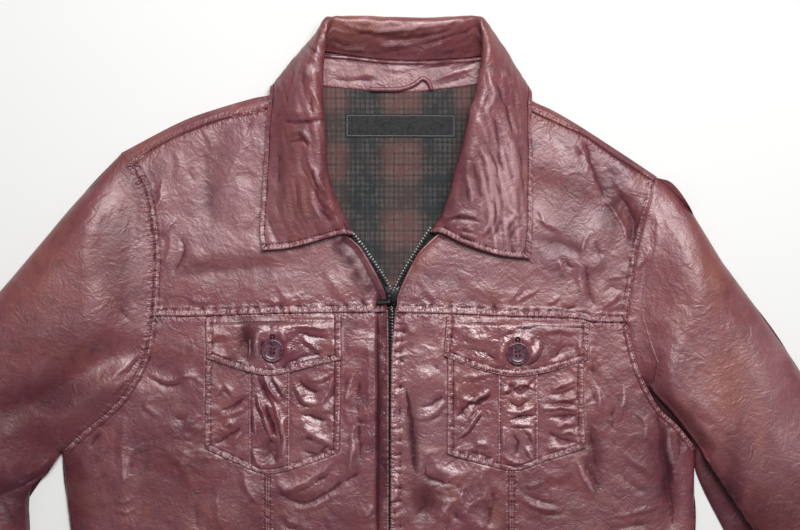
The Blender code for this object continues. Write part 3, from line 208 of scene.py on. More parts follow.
# Creases in the fronts and sleeves, mm: x0, y0, x, y halfway, x1, y1, half width, height.
CREASES = [
    # left yoke
    (-150, 158, -162, 116, -160, 66, 11, -1.9),
    (-126, 150, -142, 112, -162, 84, 6, 1.3),
    (-122, 161, -126, 154, -129, 146, 3, -0.9),
    (-203, 108, -204, 92, -209, 76, 2.6, 1.3),
    (-208, 104, -210, 94, -211, 84, 2.6, -0.9),
    (-190, 73, -197, 64, -202, 55, 2.6, 1.2),
    (-187, 57, -183, 44, -194, 22, 2.8, -1.5),
    (-195, 60, -196, 46, -200, 28, 3.4, 1.0),
    (-176, 118, -178, 112, -174, 104, 2.6, -0.8),
    (-192, 132, -188, 120, -191, 104, 3.6, 0.8),
    (-168, 152, -160, 138, -164, 126, 3.2, 0.8),
    (-192, 17, -150, 27, -80, 31, 8, -1.2),
    (-190, 34, -150, 42, -90, 46, 9, 0.9),
    (-114, 80, -122, 72, -129, 62, 2.8, 0.9),
    (-135, 110, -134, 84, -140, 62, 12, 1.2),
    (-180, 4, -172, -2, -160, 0, 3.2, 0.8),
    (-102, 14, -92, 2, -76, 6, 4, 0.9),
    (-121, 2, -94, -2, -66, 1, 4.5, 1.1),
    (-25, 4, -20, -2, -14, -8, 3.2, 1.0),
    (-60, 28, -46, 8, -40, -4, 5, 0.8),
    # right yoke
    (172, 141, 180, 114, 193, 86, 4.6, -3.2),
    (168, 138, 176, 116, 186, 92, 3.2, 1.5),
    (163, 136, 168, 130, 173, 122, 2.8, -1.1),
    (202, 94, 214, 76, 214, 50, 5.0, -2.9),
    (185, 96, 203, 70, 210, 50, 2.6, 1.2),
    (196, 108, 208, 92, 220, 70, 4, 1.0),
    (120, 112, 132, 102, 152, 96, 14, -1.5),
    (128, 74, 140, 66, 152, 60, 3.2, 1.1),
    (130, 82, 134, 74, 136, 66, 2.2, 0.7),
    (124, 53, 146, 50, 170, 40, 7, -1.6),
    (150, 39, 155, 33, 161, 27, 2.6, -1.2),
    (149, 36, 151, 28, 150, 20, 2.0, 0.8),
    (176, 60, 171, 50, 168, 38, 2.6, 1.2),
    (181, 52, 184, 44, 187, 38, 2.4, -1.0),
    (182, 40, 184, 32, 176, 26, 5, 1.1),
    (172, 31, 175, 12, 180, -7, 4.2, -1.9),
    (166, 28, 168, 12, 172, 0, 3.4, 0.9),
    (105, -2, 111, 6, 118, 14, 2.2, 0.9),
    (110, -3, 120, 4, 132, 10, 2.2, 1.0),
    (138, -4, 144, -1, 150, 3, 2.2, 0.8),
    (150, -6, 157, -8, 164, -5, 2.4, -1.0),
    (187, -7, 196, -1, 204, 7, 2.4, 0.9),
    (190, 18, 198, 20, 206, 20, 2.2, 0.7),
    (188, 6, 196, 12, 202, 8, 2.2, -0.7),
    (60, 26, 76, 10, 96, 6, 7, 0.9),
    (24, 20, 34, 6, 40, -6, 4, 0.8),
    # left side and centre
    (-218, -63, -200, -71, -176, -67, 2.6, 0.9),
    (-216, -68, -198, -76, -180, -73, 3, -1.0),
    (-204, -84, -218, -92, -204, -104, 2.8, 0.8),
    (-196, -98, -186, -106, -176, -98, 2.4, -0.8),
    (-237, -103, -239, -130, -236, -160, 4.5, 1.2),
    (-228, -130, -234, -146, -238, -166, 3.2, 0.9),
    (-258, -116, -262, -124, -266, -132, 4, -1.6),
    (-252, -128, -257, -136, -262, -144, 3, 1.2),
    (-246, -178, -238, -179, -228, -176, 2.2, 0.9),
    (-246, -186, -236, -188, -226, -184, 2.2, 0.8),
    (-187, -67, -176, -67, -165, -76, 2.4, 0.9),
    (-178, -110, -173, -106, -168, -104, 2.4, 0.9),
    (-180, -116, -184, -140, -176, -170, 5, 0.9),
    (-168, -160, -172, -180, -170, -204, 4.5, -1.0),
    (-150, -160, -154, -182, -148, -206, 4, 0.9),
    (-132, -151, -127, -166, -118, -181, 3.6, 1.3),
    (-103, -158, -88, -167, -50, -144, 4.0, 1.8),
    (-100, -171, -74, -179, -27, -151, 5.0, -1.9),
    (-99, -189, -86, -197, -67, -203, 4.0, 1.5),
    (-86, -186, -66, -182, -46, -170, 3.6, 1.0),
    (-60, -190, -54, -198, -52, -208, 3.6, 0.9),
    (-24, -193, -19, -188, -16, -181, 3.0, 1.2),
    (-40, -92, -38, -80, -34, -66, 2.6, 1.5),
    (-43, -96, -40, -100, -36, -112, 2.6, 0.9),
    (-33, -96, -34, -128, -38, -156, 3.2, 1.1),
    (-28, -70, -30, -104, -24, -150, 4.5, -1.1),
    (-20, -30, -19, -70, -20, -116, 5.0, 1.2),
    (-14, -140, -13, -170, -14, -206, 4.0, -1.3),
    # right centre and side
    (13, -24, 17, -27, 22, -31, 2.4, 0.8),
    (13, -78, 18, -112, 22, -156, 4.0, -2.6),
    (22, -60, 30, -72, 38, -60, 9, 1.5),
    (21, -104, 33, -103, 49, -91, 2.8, 1.6),
    (24, -96, 36, -92, 48, -84, 2.8, -1.1),
    (28, -137, 36, -135, 44, -135, 2.6, 0.9),
    (29, -142, 34, -158, 56, -163, 3.6, -1.5),
    (34, -138, 44, -150, 60, -157, 4.0, 1.3),
    (28, -164, 30, -178, 24, -196, 8.0, -1.8),
    (42, -196, 52, -182, 66, -170, 6.0, 1.5),
    (66, -162, 62, -184, 74, -204, 5.0, 0.9),
    (86, -160, 90, -180, 84, -204, 5.0, -0.9),
    (117, -177, 130, -184, 153, -188, 3.0, 1.4),
    (118, -172, 132, -178, 150, -182, 3.2, -1.2),
    (117, -166, 128, -164, 140, -157, 2.8, 1.0),
    (130, -150, 146, -158, 160, -152, 5.0, 0.8),
    (168, -139, 176, -154, 186, -169, 3.6, -1.6),
    (165, -142, 172, -158, 180, -172, 3.4, 1.3),
    (175, -108, 180, -138, 188, -166, 5.0, -1.6),
    (178, -70, 184, -86, 182, -104, 3.2, 1.0),
    (182, -50, 178, -62, 184, -78, 3.0, -0.8),
    (206, -75, 205, -90, 201, -108, 3.0, 1.2),
    (192, -84, 196, -104, 192, -124, 4.0, -0.9),
    (216, -100, 226, -112, 222, -126, 3.0, 0.9),
    (206, -136, 222, -148, 238, -160, 4.0, 1.0),
    (200, -152, 214, -164, 228, -172, 3.6, -0.9),
    (198, -192, 218, -188, 237, -184, 2.6, 0.9),
    (196, -204, 214, -200, 234, -198, 2.6, -0.8),
    (236, -101, 241, -134, 251, -203, 5.5, -3.2),
    (243, -108, 248, -142, 253, -166, 2.6, 1.8),
    (257, -116, 260, -130, 258, -144, 3.2, 1.3),
    # left sleeve
    (-221, -44, -262, -56, -346, -106, 14, -2.4),
    (-222, -46, -246, -68, -318, -124, 8.5, 1.9),
    (-223, -46, -234, -58, -248, -72, 3.0, 1.6),
    (-234, -71, -242, -78, -250, -88, 2.6, 1.0),
    (-235, 90, -256, 46, -238, -30, 8, -1.7),
    (-239, 2, -236, -10, -230, -22, 3.6, -1.2),
    (-223, 80, -221, 36, -224, -14, 6, 1.3),
    (-272, 44, -270, 32, -274, 20, 6, 0.9),
    (-300, 30, -316, 8, -344, -20, 8, 0.9),
    (-262, 96, -284, 66, -318, 32, 6, -0.7),
    (-262, -10, -290, -30, -330, -44, 9, 0.9),
    (-290, -136, -318, -160, -346, -171, 2.6, -2.0),
    (-286, -128, -314, -150, -346, -162, 5, 1.6),
    (-344, -178, -336, -190, -328, -202, 2.4, -1.5),
    (-328, -176, -326, -184, -322, -194, 2.8, 1.2),
    (-350, -176, -374, -182, -400, -180, 4, -1.8),
    (-340, -220, -350, -250, -346, -290, 6, 1.3),
    (-372, -240, -392, -260, -420, -268, 7, -1.5),
    (-380, -290, -400, -310, -430, -322, 6, 1.2),
    (-350, -330, -380, -346, -420, -352, 6, -1.3),
    # right sleeve
    (262, -82, 274, -94, 286, -108, 6, 0.9),
    (222, -55, 230, -58, 240, -62, 2.4, 1.0),
    (220, -44, 230, -50, 242, -52, 2.6, -0.8),
    (218, 28, 224, 36, 230, 46, 2.6, 1.1),
    (226, 40, 224, 20, 220, -6, 4, -1.2),
    (232, 84, 236, 60, 230, 30, 4, 0.9),
    (268, 40, 262, 10, 254, -24, 7, -0.9),
    (284, 10, 300, -40, 318, -100, 9, -1.2),
    (318, -10, 330, -60, 346, -110, 9, 1.2),
    (300, -80, 322, -130, 350, -180, 9, -1.1),
    (330, -110, 348, -140, 372, -176, 6, 0.9),
    (270, -60, 290, -90, 306, -130, 7, 0.8),
    (400, -200, 430, -240, 470, -280, 8, -1.6),
    (380, -250, 410, -300, 460, -350, 7, 1.4),
    (440, -330, 470, -350, 510, -350, 7, -1.5),
    # below the waist of the view
    (-240, -220, -236, -280, -244, -350, 7, 1.3),
    (-200, -230, -204, -290, -196, -360, 6, -1.2),
    (-150, -220, -142, -280, -150, -340, 7, 1.3),
    (-130, -250, -126, -300, -132, -360, 5, -1.1),
    (-80, -230, -90, -280, -80, -350, 6, 1.3),
    (-40, -220, -44, -270, -36, -330, 5, -1.4),
    (24, -220, 28, -270, 22, -330, 5, -1.4),
    (60, -220, 66, -280, 58, -350, 7, 1.3),
    (90, -240, 88, -300, 92, -360, 5, -1.0),
    (140, -220, 146, -280, 138, -350, 7, 1.3),
    (190, -220, 186, -280, 194, -350, 6, -1.3),
    (232, -220, 236, -280, 230, -350, 6, 1.2),
]

# Creases of the flaps, pockets, strips, collar and facing, in the same columns.
FLAP_CREASES = [
    (-134, -16, -128, -36, -131, -58, 7.5, -2.2),
    (-118, -50, -118, -32, -106, -27, 4.0, 1.9),
    (-106, -27, -96, -28, -93, -36, 4.0, 1.5),
    (-163, -34, -154, -30, -142, -33, 5.0, 1.0),
    (-160, -44, -150, -50, -140, -50, 4.0, 0.8),
    (-78, -35, -70, -40, -62, -46, 2.6, 1.1),
    (-84, -22, -70, -24, -56, -27, 2.0, 0.7),
    (-84, -28, -68, -32, -54, -34, 2.2, -0.7),
    (-96, -58, -82, -52, -60, -46, 3.0, -0.7),
    (129, -36, 130, -44, 120, -56, 3.2, 1.4),
    (140, -52, 150, -47, 162, -40, 4.0, -1.3),
    (134, -30, 148, -26, 164, -30, 3.0, 0.8),
    (62, -30, 76, -34, 94, -38, 4.0, 0.8),
    (64, -42, 80, -46, 94, -54, 3.0, -0.8),
    (100, -30, 104, -26, 118, -27, 3.0, 0.9),
    (166, -36, 168, -44, 170, -50, 3.2, 1.0),
    (96, -24, 118, -25, 136, -22, 2.0, -0.7),
]
POCKET_CREASES = [
    # left pocket
    (-148, -74, -143, -80, -139, -86, 2.4, 1.3),
    (-156, -86, -152, -80, -149, -77, 2.4, 0.9),
    (-151, -98, -140, -94, -128, -86, 3.2, -1.5),
    (-150, -104, -140, -100, -130, -96, 3.0, 0.9),
    (-148, -112, -143, -109, -138, -112, 3.4, 1.4),
    (-156, -128, -146, -122, -132, -112, 3.4, -1.2),
    (-139, -128, -136, -122, -132, -118, 3.0, 1.0),
    (-158, -70, -160, -96, -158, -124, 3.2, 0.8),
    (-86, -74, -78, -88, -66, -93, 2.8, 1.4),
    (-66, -93, -57, -86, -51, -67, 2.8, 1.3),
    (-74, -70, -62, -70, -50, -65, 2.4, 1.0),
    (-82, -70, -72, -80, -62, -80, 4.0, -1.2),
    (-62, -98, -57, -97, -52, -100, 3.0, 1.2),
    (-80, -100, -68, -104, -54, -108, 4.0, -1.2),
    (-79, -112, -68, -120, -50, -128, 3.2, 1.4),
    (-82, -122, -74, -118, -66, -116, 3.0, 1.0),
    (-78, -132, -66, -136, -54, -128, 3.4, -0.9),
    # right pocket
    (62, -88, 74, -88, 88, -80, 2.2, 1.7),
    (88, -84, 78, -92, 70, -104, 2.6, -1.3),
    (58, -123, 69, -113, 80, -98, 2.2, 1.8),
    (62, -112, 74, -98, 84, -90, 2.2, 1.0),
    (58, -104, 68, -94, 76, -84, 2.8, -1.2),
    (58, -74, 58, -82, 60, -96, 3.2, 1.0),
    (62, -68, 74, -68, 88, -66, 2.8, 0.8),
    (74, -128, 80, -127, 88, -130, 3.0, 1.3),
    (66, -134, 78, -136, 90, -142, 2.6, -0.9),
    (142, -79, 152, -75, 162, -71, 2.2, 1.4),
    (140, -84, 152, -82, 164, -78, 2.2, -1.1),
    (146, -89, 154, -88, 165, -87, 1.9, 1.5),
    (134, -97, 150, -95, 165, -98, 1.9, 1.5),
    (136, -92, 150, -92, 164, -92, 1.9, -1.0),
    (140, -103, 152, -103, 165, -102, 2.4, -1.4),
    (146, -112, 156, -109, 165, -110, 3.6, 1.6),
    (140, -116, 151, -124, 165, -127, 3.4, -1.8),
    (150, -118, 158, -116, 166, -120, 2.2, 1.2),
    (136, -132, 146, -130, 158, -132, 3.0, 0.9),
]
STRIP_CREASES = [
    # left strip
    (-113, -66, -108, -78, -99, -90, 1.9, 1.8),
    (-117, -68, -112, -82, -105, -94, 2.0, -1.6),
    (-105, -67, -99, -77, -93, -87, 1.8, 1.5),
    (-119, -83, -112, -104, -105, -122, 2.2, 1.9),
    (-111, -93, -106, -108, -102, -122, 2.6, -2.3),
    (-104, -92, -99, -104, -97, -120, 2.2, 1.6),
    (-123, -96, -120, -110, -119, -124, 2.0, 1.0),
    (-107, -122, -105, -132, -101, -144, 5.0, -2.2),
    (-122, -132, -119, -142, -112, -149, 3.2, 1.3),
    (-96, -104, -95, -122, -96, -138, 2.2, 1.3),
    # right strip
    (104, -74, 115, -81, 126, -72, 2.0, -1.7),
    (106, -80, 116, -74, 127, -79, 1.9, 1.4),
    (97, -83, 101, -80, 107, -79, 2.2, 1.4),
    (104, -88, 112, -94, 122, -88, 2.2, -1.0),
    (102, -98, 114, -99, 127, -95, 1.9, 1.2),
    (105, -106, 116, -103, 128, -102, 1.9, -1.6),
    (104, -111, 116, -110, 126, -112, 1.9, 1.2),
    (99, -112, 99, -120, 100, -132, 2.6, 1.3),
    (117, -114, 124, -118, 126, -128, 2.0, 1.2),
    (108, -118, 112, -126, 110, -138, 3.4, -1.5),
    (118, -131, 122, -135, 125, -141, 2.2, 1.3),
    (99, -138, 108, -144, 118, -144, 2.6, 1.2),
]
COLLAR_CREASES = [
    # left side
    (-97, 157, -78, 156, -57, 158, 2.0, -2.0),
    (-94, 163, -82, 165, -72, 166, 5.0, 1.3),
    (-92, 144, -80, 149, -70, 137, 2.6, 2.0),
    (-90, 138, -78, 141, -72, 134, 2.2, -1.7),
    (-73, 127, -62, 104, -48, 80, 3.0, 1.6),
    (-80, 128, -72, 104, -56, 76, 4.0, -1.2),
    (-100, 134, -99, 116, -100, 96, 3.6, -1.1),
    (-94, 128, -92, 104, -96, 74, 4.5, 0.9),
    (-84, 112, -82, 90, -86, 66, 4.5, -0.8),
    (-58, 86, -54, 82, -50, 76, 2.0, 1.2),
    (-62, 80, -57, 74, -50, 70, 2.0, -1.0),
    (-68, 182, -64, 172, -60, 163, 2.4, 1.6),
    (-72, 184, -70, 172, -68, 162, 2.4, -1.0),
    (-71, 218, -72, 196, -71, 172, 3.2, 1.0),
    (-84, 206, -88, 190, -92, 172, 4.0, -1.0),
    (-78, 214, -80, 200, -84, 182, 3.2, 1.0),
    (-100, 182, -98, 172, -100, 162, 3.4, 1.0),
    (-66, 116, -66, 110, -62, 100, 2.0, 1.0),
    # back of the neck
    (-46, 245, -10, 237, 60, 246, 2.8, 1.7),
    (-30, 236, 12, 231, 62, 239, 3.0, -1.4),
    (28, 226, 48, 231, 70, 238, 1.9, -1.4),
    (-52, 232, -44, 226, -34, 224, 2.6, -0.9),
    (-20, 228, 4, 225, 28, 228, 3.0, 1.0),
    (-50, 224, -30, 222, -8, 219, 2.4, 0.7),
    (34, 220, 54, 222, 72, 228, 2.6, 1.0),
    # right side
    (84, 201, 90, 180, 82, 164, 3.0, 1.4),
    (93, 208, 112, 180, 120, 134, 3.6, 1.2),
    (88, 196, 100, 172, 108, 140, 3.6, -1.3),
    (75, 140, 85, 118, 90, 86, 2.6, 1.9),
    (90, 86, 88, 70, 79, 56, 2.4, 1.6),
    (82, 140, 92, 116, 98, 92, 4.0, -1.5),
    (70, 126, 76, 104, 80, 84, 3.6, -1.3),
    (66, 112, 70, 96, 72, 80, 2.6, 1.3),
    (98, 158, 106, 128, 112, 96, 3.4, 1.4),
    (108, 150, 114, 124, 117, 92, 2.8, -0.9),
    (92, 160, 94, 136, 99, 112, 4.0, -1.5),
    (46, 68, 62, 72, 80, 69, 1.8, -1.9),
    (52, 74, 64, 77, 76, 74, 2.2, 1.4),
    (60, 60, 68, 56, 76, 54, 2.0, 1.5),
    (56, 64, 66, 63, 76, 61, 1.8, 1.1),
    (99, 62, 104, 69, 110, 76, 2.4, 1.3),
    (88, 52, 94, 62, 96, 74, 3.0, -1.0),
    (104, 54, 110, 62, 116, 66, 2.2, -0.8),
    (104, 84, 110, 76, 116, 74, 2.2, 0.9),
]
FACING_CREASES = [
    (-57, 195.5, -34, 195, -12, 195.5, 1.8, -0.9),
    (-30, 199, -22, 200, -14, 198, 2.4, 0.8),
    (24, 206, 36, 210, 56, 211, 2.0, 1.0),
    (36, 194, 54, 201, 74, 206, 2.4, 1.2),
    (40, 190, 56, 195, 72, 199, 2.0, -0.8),
    (50, 205, 62, 207, 76, 211, 1.8, -0.8),
    (-8, 206, 8, 204, 22, 206, 2.2, 0.6),
]

# Tints of the worn hide and spots of painted sheen, shade and highlight, mm: x, y, reach along x, reach along y,
# amount.
RUST = [
    (-300, 30, 60, 60, 0.5),
    (-240, 140, 46, 26, 0.8),
    (285, 40, 40, 60, 0.55),
    (296, -80, 34, 60, 0.7),
    (-20, 240, 60, 14, 0.8),
    (-90, 110, 14, 50, 0.4),
    (36, 46, 5, 9, 0.7),
    (27, 34, 5, 9, 0.7),
    (19, 22, 5, 9, 0.6),
    (-86, 90, 22, 40, 0.5),
    (286, 14, 12, 26, 0.9),
    (306, -50, 8, 40, 0.8),
    (322, -112, 8, 46, 0.7),
    (262, 0, 24, 50, 0.4),
    (336, -190, 14, 60, 0.5),
    (172, -66, 10, 24, 0.4),
    (160, 6, 40, 12, 0.35),
    (62, -68, 14, 26, 0.5),
    (-150, -100, 14, 26, 0.35),
    (-70, -106, 16, 16, 0.35),
    (-230, 122, 26, 12, 0.6),
    (-150, 171, 40, 6, 0.6),
    (150, 160, 50, 8, 0.6),
    (-150, 30, 46, 10, 0.3),
    (-300, 0, 40, 24, 0.25),
    (30, 244, 50, 8, 0.6),
    (-70, 230, 10, 26, 0.5),
    (86, 226, 10, 22, 0.4),
    (116, -92, 16, 10, 0.5),
    (-104, 64, 12, 12, 0.4),
    (124, 100, 30, 20, 0.3),
]
# Painted sheen: pale greyish spots that stand in for the hide's sheen.
PAINTED_SHEEN_SPOTS = [
    (-128, 84, 30, 60, 1.0),
    (92, 108, 22, 56, 1.0),
    (-74, -134, 26, 30, 0.6),
    (28, -110, 22, 50, 0.8),
    (100, -120, 34, 20, 0.6),
    (-20, -3, 8, 5, 1.0),
    (16, -4, 9, 4, 0.8),
    (-106, -27, 12, 6, 1.0),
    (-120, -50, 8, 12, 1.0),
    (-98, -63, 24, 5, 0.7),
    (5, -110, 4, 80, 0.6),
    (-140, 92, 38, 52, 1.0),
    (-186, 120, 24, 34, 0.9),
    (-190, 60, 12, 40, 0.7),
    (-80, 20, 90, 14, 0.8),
    (-100, 12, 70, 12, 0.5),
    (-50, 24, 40, 24, 0.5),
    (150, 60, 30, 14, 0.5),
    (188, 20, 22, 26, 0.5),
    (170, 120, 26, 20, 0.4),
    (100, 12, 60, 14, 0.4),
    (34, -66, 22, 26, 0.8),
    (-60, -92, 16, 20, 0.4),
    (-145, -88, 12, 14, 0.4),
    (336, -60, 16, 46, 0.9),
    (348, -120, 14, 50, 0.8),
    (-224, 24, 8, 44, 0.6),
    (-270, -92, 34, 12, 0.5),
    (60, -150, 24, 14, 0.5),
    (-70, -160, 30, 12, 0.4),
    (104, 100, 18, 56, 0.9),
    (86, 92, 16, 40, 0.9),
    (-80, 176, 8, 30, 0.5),
    (104, -44, 50, 10, 0.4),
]
# Painted shade: darker spots where shade falls, on the hide and on the lining.
PAINTED_SHADE_SPOTS = [
    (63, 118, 7, 40, 0.6),
    (50, 78, 8, 14, 0.5),
    (-60, 110, 5, 40, 0.4),
    (-84, 78, 14, 22, 0.35),
    (-335, -110, 60, 44, 0.75),
    (-322, -176, 60, 44, 1.0),
    (-238, 34, 20, 60, 0.5),
    (-290, -36, 60, 26, 0.4),
    (163, 84, 26, 44, 0.4),
    (335, -190, 40, 46, 0.85),
    (-290, -80, 40, 30, 0.5),
    (-110, -192, 130, 24, 0.35),
    (150, -186, 80, 30, 0.4),
    (232, -140, 30, 60, 0.4),
    (-225, 104, 16, 26, 0.5),
    (-43, 46, 9, 8, 1.0),
    (-36, 35, 9, 8, 1.0),
    (-28, 24, 8, 8, 1.0),
    (-20, 13, 7, 9, 0.9),
    (-8, -40, 4, 50, 0.7),
    (-300, -86, 60, 22, 0.9),
    (-280, -170, 20, 60, 0.8),
    (-330, -160, 30, 24, 0.7),
    (-200, -150, 50, 60, 0.45),
    (-127, -38, 11, 22, 1.0),
    (-140, -52, 10, 8, 0.6),
    (-106, -134, 9, 10, 0.7),
    (-8, -120, 6, 100, 0.9),
    (20, -130, 6, 36, 0.9),
    (30, -176, 16, 22, 0.8),
    (180, -140, 10, 30, 0.7),
    (244, -150, 8, 46, 1.0),
    (228, -180, 26, 40, 0.4),
    (196, 84, 12, 34, 0.8),
    (214, 62, 7, 24, 0.8),
    (150, 48, 26, 9, 0.6),
    (-160, 100, 8, 44, 0.5),
    (-150, 28, 60, 8, 0.5),
    (-248, 36, 16, 50, 0.5),
    (-90, -174, 50, 7, 0.5),
    (-10, 226, 70, 8, 0.4),
    (302, -160, 14, 50, 0.8),
    (-96, 110, 8, 60, 0.4),
]
# Painted highlights: lighter spots on the collar.
PAINTED_HIGHLIGHT_SPOTS = [
    (96, 100, 20, 50, 1.0),
    (84, 170, 10, 34, 0.6),
    (-66, 96, 6, 26, 0.6),
    (5, 241, 70, 5, 0.7),
]
POLISH = [
    (-87, -42, 54, 26, 1.0),
    (92, -44, 54, 26, 1.0),
    (-87, -96, 52, 44, 0.75),
    (92, -96, 52, 44, 0.75),
    (2, -100, 46, 90, 0.6),
    (0, -4, 200, 12, 0.6),
    (70, -150, 60, 40, 0.4),
    (-60, -150, 50, 40, 0.3),
]

# Seams, mm: which side is lapped over (1 right of the run, -1 left, 0 both), row distances, lift, pucker.
SEAM_STYLES = {
    "yoke": (-1, (6.2,), 1.5, 0.8),
    "shoulder": (-1, (2.0,), 0.6, 0.25),
    "hole": (1, (1.2, 5.0), 0.9, 0.6),
    "panel": (0, (2.6,), 0.7, 0.30),
    "waist": (1, (2.0, 7.0), 1.2, 0.35),
    "zip_left": (1, (9.6,), 0.3, 0.2),
    "zip_right": (1, (9.0,), 0.8, 1.0),
    "vee_left": (1, (), 0, 0),
    "vee_right": (1, (), 0, 0),
}


def smooth(value):
    value = np.clip(value, 0, 1)
    return value * value * (3 - 2 * value)


def round_edge(value):
    value = np.clip(value, 0, 1)
    return np.sqrt(1 - (1 - value) ** 2)


def bell(distance, width):
    return np.exp(-((distance / width) ** 2))


def spline(points, steps=12):
    """A smooth curve through the points, as a close polyline."""
    points = np.array(points, float)
    ends = np.vstack([2 * points[0] - points[1], points, 2 * points[-1] - points[-2]])
    share = np.linspace(0, 1, steps + 1)[:-1, None]
    fine = []
    for a, b, c, d in zip(ends, ends[1:], ends[2:], ends[3:]):
        bend = (2 * a - 5 * b + 4 * c - d) * share**2 + (3 * b - a - 3 * c + d) * share**3
        fine.append(b + 0.5 * ((c - a) * share + bend))
    return np.vstack(fine + [points[-1:]])


def join(*paths):
    return np.vstack([paths[0]] + [path[1:] for path in paths[1:]])


def run_of(path):
    return np.concatenate([[0], np.cumsum(np.linalg.norm(np.diff(path, axis=0), axis=1))])


def sample(path, shares):
    """Points of a polyline at these shares of its length."""
    run = run_of(path)
    where = np.asarray(shares) * run[-1]
    return np.stack([np.interp(where, run, axis) for axis in np.asarray(path, float).T], axis=1)


def coarse(path, count):
    return sample(spline(path), np.linspace(0, 1, count + 1))


def graded(length, step, far=None, fine=(0.4, 1.0, 2.0)):
    """Shares from 0 to 1 at an even step, with close rows at both ends.

    far is the start, end and step of a wider part, mm.
    """
    places = [0.0]
    while places[-1] < length:
        wide = far is not None and far[0] <= places[-1] <= far[1]
        places.append(places[-1] + (far[2] if wide else step))
    places = np.array(places) * length / places[-1]
    inside = places[(places > fine[-1] + 0.4 * step) & (places < length - fine[-1] - 0.4 * step)]
    rim = np.array(fine)
    return np.concatenate([[0], rim, inside, length - rim[::-1], [length]]) / length


def nearest(points, path):
    """Distance to a path, the same with the sign of its right-hand side, and the run along it."""
    points = np.asarray(points, float)
    shape = points.shape[:-1]
    flat = points.reshape(-1, 2)
    start = path[:-1]
    along = path[1:] - start
    square = (along * along).sum(-1)
    best = np.full(len(flat), 1e9)
    signed = np.zeros(len(flat))
    run = np.zeros(len(flat))
    starts = run_of(path)
    for k in range(len(start)):
        away = flat - start[k]
        share = np.clip((away @ along[k]) / square[k], 0, 1)
        gap = away - share[:, None] * along[k]
        distance = np.hypot(gap[:, 0], gap[:, 1])
        closer = distance < best
        best[closer] = distance[closer]
        side = np.sign(along[k][1] * away[:, 0] - along[k][0] * away[:, 1])
        signed[closer] = (side * distance)[closer]
        run[closer] = (starts[k] + share * math.sqrt(square[k]))[closer]
    return best.reshape(shape), signed.reshape(shape), run.reshape(shape)


def side_paths(side):
    """The coarse edges that a side's heights are measured from."""
    cuff_out, cuff_in = CUFF_END[side]
    outer = np.array([SLEEVE_OUT[side][-1], cuff_out])
    shoulder = np.array([TOP[side][0], ARM_HOLE[side][0]])
    return {
        "top": join(coarse(TOP[side][::-1], 10), coarse(SLEEVE_OUT[side], 12), outer),
        "inner": join(coarse(SLEEVE_IN[side], 10), np.array([SLEEVE_IN[side][-1], cuff_in])),
        "flank": join(coarse(FLANK[side], 6), np.array([FLANK[side][-1], (HEM_X[side], HEM_Y)])),
        "hole": join(shoulder, coarse(ARM_HOLE[side], 8), coarse(ARM_PIT[side], 8)),
    }


SIDES = {side: side_paths(side) for side in ("left", "right")}
PAST_HOLE = {
    "left": np.vstack([SIDES["left"]["hole"], [(-302, -200), (-302, -450)]]),
    "right": np.vstack([SIDES["right"]["hole"], [(271.4, -150), (283, -203), (300, -274), (330, -460)]]),
}
TURN = {"left": 1.0, "right": -1.0}
# Plan direction towards the window.
SUN = (0.25, 0.97)
FOLD_PATH = coarse(SLEEVE_FOLD, 12)


def lift(points, start=NECK_RISE_Y):
    """How far the collar's hidden fall raises the back of the neck."""
    x, y = points[..., 0], points[..., 1]
    across = smooth((x + 148) / 38) * smooth((166 - x) / 38)
    return NECK_LIFT * across * smooth((y - start) / 24)


def fold_heights(points):
    total = np.zeros(points.shape[:-1])
    for x0, y0, x1, y1, half, height in FOLDS:
        start, along = np.array([x0, y0], float), np.array([x1 - x0, y1 - y0], float)
        away = points - start
        share = (away * along).sum(-1) / (along @ along)
        off = (away[..., 0] * along[1] - away[..., 1] * along[0]) / np.linalg.norm(along)
        taper = smooth((share + 0.15) / 0.35) * smooth((1.15 - share) / 0.35)
        total = total + height * taper * np.exp(-((off / half) ** 2) * 2)
    return total


def side_height(points, name):
    side = SIDES[name]
    x, y = points[..., 0], points[..., 1]
    to_top = nearest(points, side["top"])[0]
    to_inner = nearest(points, side["inner"])[0]
    to_flank = nearest(points, side["flank"])[0]
    to_hole = nearest(points, side["hole"])[0]
    past_hole = nearest(points, PAST_HOLE[name])[1]
    raised = lift(points)
    edge = EDGE_Z + raised + SHOULDER_RISE * np.clip((238 - np.abs(x)) / 130, 0, 1)
    body = edge + (BODY_Z + 0.5 * raised - edge) * round_edge(to_top / 32)
    body = EDGE_Z + (body - EDGE_Z) * round_edge(to_flank / 26)
    body = RIM_Z + (body - RIM_Z) * round_edge(to_flank / 2.6)
    puff = SLEEVE_PUFF + (CUFF_PUFF - SLEEVE_PUFF) * smooth((-y - 220) / 200)
    arm = puff * round_edge(to_top / 40)
    blend = 60.0
    if name == "left":
        arm = EDGE_Z + arm * round_edge(to_inner / 40)
    else:
        to_fold, past_fold, _ = nearest(points, FOLD_PATH)
        rising = 0.8 * to_inner / (to_inner + to_fold + 0.01)
        arm = EDGE_Z + arm * np.where(past_fold < 0, 0.8 + 0.2 * round_edge(to_fold / 24), rising)
        blend = 16 + 44 * smooth((y + 90) / 90)
    arm = RIM_Z + (arm - RIM_Z) * round_edge(np.minimum(to_top, to_inner) / 2.6)
    share = smooth(np.where(TURN[name] * past_hole > 0, to_hole, 0) / blend)
    height = body * (1 - share) + arm * share
    room = smooth((height - EDGE_Z - raised) / 5)
    return height + room * fold_heights(points)


def height(points):
    """The laid jacket's smooth front surface."""
    points = np.asarray(points, float)
    flat = points.reshape(-1, 2)
    share = smooth((flat[:, 0] + 6) / 12)
    total = np.zeros(len(flat))
    for name, weight in (("left", 1 - share), ("right", share)):
        used = weight > 0
        total[used] += weight[used] * side_height(flat[used], name)
    return total.reshape(points.shape[:-1])


LATTICE = np.random.default_rng(4).uniform(0, 2 * math.pi, (256, 256))


